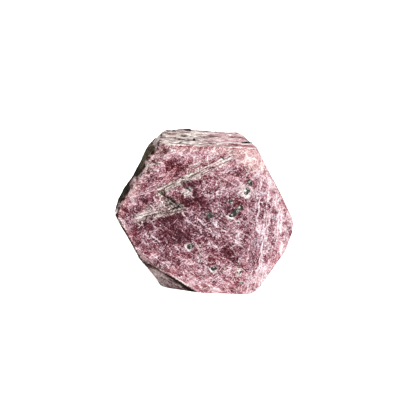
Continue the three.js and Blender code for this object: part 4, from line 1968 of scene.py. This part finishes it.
        for angle, length, spacing, level, strength in (
            (8.0, 1.3, 0.85, 0.57, -0.13),
            (40.0, 0.62, 0.50, 0.56, -0.22),
            (-30.0, 0.34, 0.28, 0.57, -0.25),
        ):
            pools = needles(angle, length, spacing, level, 0.022)
            share = sheet.times(deep, basal)
            tone = sheet.plus(tone, sheet.times(pools, share), strength)
        specks = sheet.times(needles(-20.0, 0.24, 0.19, 0.59, 0.02), calm)
        tone = sheet.plus(tone, sheet.times(specks, basal), 0.38)
        bands = sheet.math("MAXIMUM", sheet.look(Look.RISING_LINES), sheet.look(Look.SHALLOW_LINES))
        bands = sheet.math("MAXIMUM", bands, sheet.times(sheet.look(Look.UPRIGHT_LINES), 0.6))
        clear = sheet.times(sheet.span(bands, 0.0, 1.0, 1.0, 0.3), calm)
        for look, angle, stretch in (
            (Look.LEAN_UP, RISING_ANGLE, 1.7),
            (Look.LEAN_DOWN, FALLING_ANGLE, 1.5),
            (Look.UPRIGHT, STANDING_ANGLE, 1.4),
        ):
            light = 0.0
            drawn = {"Vector": place, "Angle": angle, "Stretch": stretch}
            for size, width, patchy, strength in ((1.9, 0.045, 0.6, 0.27), (0.9, 0.075, 1.2, 0.23)):
                sizes = {"Size": size, "Width": width, "Warp": 0.5, "Patchy": patchy}
                light = sheet.plus(light, sheet.group(patterns.veins, **drawn, **sizes), strength)
            for size, width, strength in ((1.3, 0.016, 0.36), (0.62, 0.022, 0.32), (0.33, 0.034, 0.26)):
                lines = sheet.group(patterns.threads, **drawn, Size=size, Width=width)
                light = sheet.plus(light, lines, strength)
            light = sheet.times(light, clear)
            tone = sheet.math("ADD", tone, sheet.times(light, sheet.look(look)))
        for look, angle, strength in (
            (Look.LEAN_UP, RISING_ANGLE, 0.20),
            (Look.LEAN_UP, -40.0, 0.14),
            (Look.LEAN_DOWN, -36.0, 0.22),
            (Look.LEAN_DOWN, 38.0, 0.16),
            (Look.UPRIGHT, STANDING_ANGLE, 0.16),
            (Look.UPRIGHT, -28.0, 0.16),
        ):
            lines = needles(angle, 2.0, 0.24, 0.60, 0.03)
            share = sheet.times(calm, sheet.look(look))
            tone = sheet.plus(tone, sheet.times(lines, share), strength)
        for look, angle in (
            (Look.RISING_LINES, 29.2),
            (Look.SHALLOW_LINES, 18.0),
            (Look.UPRIGHT_LINES, 91.5),
        ):
            lines = needles(angle, 4.0, 0.27, 0.5, 0.03)
            light = sheet.math("SUBTRACT", sheet.times(lines, 0.34), 0.04)
            tone = sheet.math("ADD", tone, sheet.times(sheet.look(look), light))
        ledges = sheet.look(Look.LEDGES)
        wavy = sheet.moved(place, sheet.scaled(sheet.noise(place, 0.4).outputs["Color"], 1.6))
        for spacing, length, level, strength in (
            (0.9, 3.2, 0.56, -0.42),
            (0.6, 1.6, 0.56, 0.24),
            (0.3, 1.0, 0.59, -0.20),
            (0.34, 0.5, 0.60, 0.22),
        ):
            sizes = {"Length": length, "Spacing": spacing, "Level": level, "Soft": 0.03}
            lines = sheet.group(patterns.ledges, Vector=wavy, **sizes)
            tone = sheet.plus(tone, sheet.times(lines, ledges), strength)
        return sheet.math("MINIMUM", sheet.math("MAXIMUM", tone, 0.0), 1.0)


GRAIN_RIM = "rim"


@dataclass(frozen=True)
class GrainFinish:
    """Dark, slightly shiny mineral with pale flecks that are painted glints."""

    stops: Stops = (
        (0.0, linear(5, 5, 5)),
        (0.4, linear(30, 30, 28)),
        (0.65, linear(92, 92, 86)),
        (1.0, linear(222, 218, 208)),
    )
    ground: float = 0.41
    glint_share: float = 0.6
    rim_share: float = -0.34

    def make(self, patterns: Patterns) -> bpy.types.Material:
        """Build the material.

        Args:
            patterns: The shared pattern groups.

        Returns:
            The finished material.
        """
        material = bpy.data.materials.new("dark_grain")
        material.use_nodes = True
        sheet = Sheet(material.node_tree)
        shader = material.node_tree.nodes["Principled BSDF"]
        place = sheet.millimetres()
        cloud = sheet.group(patterns.mottle, Vector=place, Scale=1.9, Amount=0.9)
        # Painted glints: the pale flecks stand in for light glinting off the grains.
        flecks = sheet.group(patterns.threads, Vector=place, Angle=30.0, Stretch=1.4, Size=0.4, Width=0.05)
        tone = sheet.plus(cloud, flecks, self.glint_share)
        tone = sheet.plus(tone, sheet.attribute(GRAIN_RIM), self.rim_share)
        tone = sheet.math("ADD", self.ground, tone, clamp=True)
        sheet.feed(shader.inputs["Base Color"], sheet.ramp(tone, self.stops))
        sheet.feed(shader.inputs["Roughness"], sheet.span(tone, 0.2, 0.9, 0.3, 0.6))
        return material


# ---- Grains --------------------------------------------------------------------------------------


@dataclass(frozen=True)
class TopGrain:
    """A grain of dark mineral in the top face: its middle, its half sizes and its turn."""

    x: float
    y: float
    half_long: float
    half_short: float
    turn: float = 0.0


TOP_GRAINS = (
    TopGrain(-7.4, 3.5, 0.55, 0.6, 5),
    TopGrain(-6.3, 3.9, 0.45, 0.7, -10),
    TopGrain(-3.4, 5.2, 0.60, 0.5, 0),
    TopGrain(-4.57, 0.45, 0.50, 0.7, 15),
    TopGrain(-3.71, -2.3, 0.38, 0.5, 0),
    TopGrain(-2.63, -1.4, 0.25, 0.4, 0),
    TopGrain(-5.33, -4.2, 0.25, 0.4, 0),
    TopGrain(7.28, -2.4, 0.95, 0.45, -5),
    TopGrain(-8.6, 1.8, 0.35, 0.5, 0),
)


@dataclass
class DarkGrains:
    """The grains of dark mineral that sit in the crystal's faces."""

    stone: bpy.types.Object
    grit: Grit = field(default_factory=lambda: Grit(23))
    thickness: float = 0.36
    top_thickness: float = 0.62
    sink: float = 0.04
    jaggedness: float = 0.45
    kept_facets: float = 0.35
    smooth_below: float = 25.0

    def front(self) -> bpy.types.Object:
        """Make the grains of the basal face.

        Returns:
            The joined grains.
        """
        made = []
        for number, grain in enumerate(FRONT_GRAINS):
            thick = min(self.thickness / 2, 1.4 * grain.half_short)
            size = (1.1 * grain.half_long, thick, 1.1 * grain.half_short)
            at = self._seat(Vector((grain.x, FRONT_Y - CLEAR, grain.z)), Vector((0.0, 1.0, 0.0)))
            made.append(self._lump(number, size, at, (0.0, -math.radians(grain.turn), 0.0), (0, 2)))
        return self._joined(made, "dark_grains_front")

    def top(self) -> bpy.types.Object:
        """Make the grains of the top face.

        Returns:
            The joined grains.
        """
        made = []
        for number, grain in enumerate(TOP_GRAINS):
            size = (grain.half_long, grain.half_short, self.top_thickness / 2)
            at = self._seat(Vector((grain.x, grain.y, TOP_Z + CLEAR)), Vector((0.0, 0.0, -1.0)))
            made.append(self._lump(60 + number, size, at, (0.0, 0.0, math.radians(grain.turn)), (0, 1)))
        return self._joined(made, "dark_grains_top")

    def _seat(self, start: Vector, way: Vector) -> Vector:
        """Find where a grain's middle goes: just under the stone's surface.

        Args:
            start: A point outside the stone, in millimetres.
            way: The way from there into the stone.

        Returns:
            The place in millimetres.
        """
        hit, place, _, _ = self.stone.ray_cast(start * MM, way)
        if not hit:
            raise ValueError(f"no stone beyond {tuple(start)}")
        return place / MM + way * self.sink

    def _lump(
        self,
        number: int,
        half_size: tuple[float, float, float],
        at: Vector,
        turn: tuple[float, float, float],
        across: tuple[int, int],
    ) -> bpy.types.Object:
        """Make one angular lump, half sunk in a face.

        Args:
            number: Picks its shape.
            half_size: Its half sizes in millimetres.
            at: Its middle in millimetres.
            turn: Its turn in radians.
            across: The two of its axes that lie in the face.

        Returns:
            The lump, with its nearness to the rim as an attribute.
        """
        Bench.clear_selection()
        bpy.ops.mesh.primitive_ico_sphere_add(subdivisions=4, radius=1.0)
        piece = bpy.context.active_object
        places = Bench.places(piece) * MM
        rough = 1.0 + self.jaggedness * self.grit.layered(places + 7.3 * number, 0.9, 3, number)
        Bench.put(piece, places * rough[:, None] / MM)
        rim = smooth_step(0.45, 0.95, np.hypot(*(places[:, axis] for axis in across)))
        Bench.store(piece, GRAIN_RIM, rim)
        piece.scale = tuple(size * MM for size in half_size)
        piece.rotation_euler = turn
        piece.location = at * MM
        Bench.settle(piece)
        Bench.apply_modifier(piece, "facets", "DECIMATE", ratio=self.kept_facets)
        bpy.ops.object.shade_smooth_by_angle(angle=math.radians(self.smooth_below))
        return piece

    @staticmethod
    def _joined(made: Sequence[bpy.types.Object], name: str) -> bpy.types.Object:
        """Join lumps into one piece.

        Args:
            made: The lumps.
            name: The piece's name.

        Returns:
            The piece.
        """
        Bench.take(made[0])
        for piece in made:
            piece.select_set(True)
        bpy.ops.object.join()
        joined = bpy.context.active_object
        joined.name = name
        return joined


# ---- The setting ---------------------------------------------------------------------------------


@dataclass
class Studio:
    """Floor, soft light and camera."""

    target: tuple[float, float, float] = (0.98, 0.0, 15.40)
    azimuth: float = VIEW_AZIMUTH
    elevation: float = VIEW_ELEVATION
    roll: float = VIEW_ROLL
    distance: float = VIEW_DISTANCE
    lens: float = VIEW_LENS
    sensor: float = VIEW_SENSOR
    near_clip: float = 0.01
    far_clip: float = 20.0
    floor_size: float = 8.0
    floor_colour: float = 0.9
    floor_glow: float = 0.93
    surround: float = 0.50
    key_strength: float = 3.4
    key_azimuth: float = 46.0
    key_elevation: float = 44.0
    key_spread: float = 26.0

    def floor(self) -> None:
        """Lay a wide pale floor, which looks as bright as the white surround."""
        Bench.clear_selection()
        bpy.ops.mesh.primitive_plane_add(size=self.floor_size)
        plane = bpy.context.active_object
        plane.name = "floor"
        material = bpy.data.materials.new("pale_floor")
        material.use_nodes = True
        sheet = Sheet(material.node_tree)
        shader = material.node_tree.nodes["Principled BSDF"]
        shader.inputs["Base Color"].default_value = (*(self.floor_colour,) * 3, 1.0)
        shader.inputs["Roughness"].default_value = 0.9
        shader.inputs["Specular IOR Level"].default_value = 0.1
        shader.inputs["Emission Color"].default_value = (1.0, 1.0, 1.0, 1.0)
        seen = sheet.add("ShaderNodeLightPath").outputs["Is Camera Ray"]
        sheet.feed(shader.inputs["Emission Strength"], sheet.times(seen, self.floor_glow))
        plane.data.materials.append(material)

    def lights(self) -> None:
        """Add a soft key from the upper right, and an even white surround."""
        scene = bpy.context.scene
        world = scene.world or bpy.data.worlds.new("surround")
        scene.world = world
        world.use_nodes = True
        background = world.node_tree.nodes["Background"]
        background.inputs["Color"].default_value = (1.0, 1.0, 1.0, 1.0)
        background.inputs["Strength"].default_value = self.surround
        lamp = bpy.data.lights.new("key", "SUN")
        lamp.energy = self.key_strength
        lamp.angle = math.radians(self.key_spread)
        holder = bpy.data.objects.new("key", lamp)
        scene.collection.objects.link(holder)
        holder.rotation_mode = "QUATERNION"
        holder.rotation_quaternion = self._back(self.key_azimuth, self.key_elevation).to_track_quat("Z", "Y")

    @staticmethod
    def _back(azimuth: float, elevation: float) -> Vector:
        """The way from the crystal towards a place round it."""
        across, up = math.radians(azimuth), math.radians(elevation)
        return Vector((math.sin(across) * math.cos(up), -math.cos(across) * math.cos(up), math.sin(up)))

    def camera(self) -> None:
        """Set the camera up at the front, a little above and to the left."""
        data = bpy.data.cameras.new("camera")
        data.lens = self.lens
        data.sensor_width = self.sensor
        data.clip_start, data.clip_end = self.near_clip, self.far_clip
        holder = bpy.data.objects.new("camera", data)
        bpy.context.scene.collection.objects.link(holder)
        back = self._back(self.azimuth, self.elevation)
        holder.location = Vector(self.target) * MM + back * self.distance * MM
        holder.rotation_mode = "QUATERNION"
        level = (-back).to_track_quat("-Z", "Y")
        roll = Matrix.Rotation(math.radians(self.roll), 4, "Z").to_quaternion()
        holder.rotation_quaternion = level @ roll
        bpy.context.scene.camera = holder

    def build(self) -> None:
        """Build the whole setting."""
        self.floor()
        self.lights()
        self.camera()
        bpy.context.scene.view_settings.view_transform = "Standard"


def main() -> None:
    """Build the crystal, its grains and its setting."""
    logging.basicConfig(level=logging.INFO, format="%(name)s: %(message)s")
    Studio().build()
    patterns = Patterns()
    stone = RubyCrystal().build()
    grains = DarkGrains(stone)
    ruby, dark = RubyFinish().make(patterns), GrainFinish().make(patterns)
    for piece, slot, material in (
        (stone, "ruby", ruby),
        (grains.front(), "dark_mineral", dark),
        (grains.top(), "dark_mineral", dark),
    ):
        piece.data.materials.clear()
        piece.data.materials.append(material)
        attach(piece, "root")
        triangles = sum(len(face.vertices) - 2 for face in piece.data.polygons)
        log.info("%s: %d triangles", piece.name, triangles)
    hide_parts("ruby_crystal")


if __name__ == "__main__":
    main()
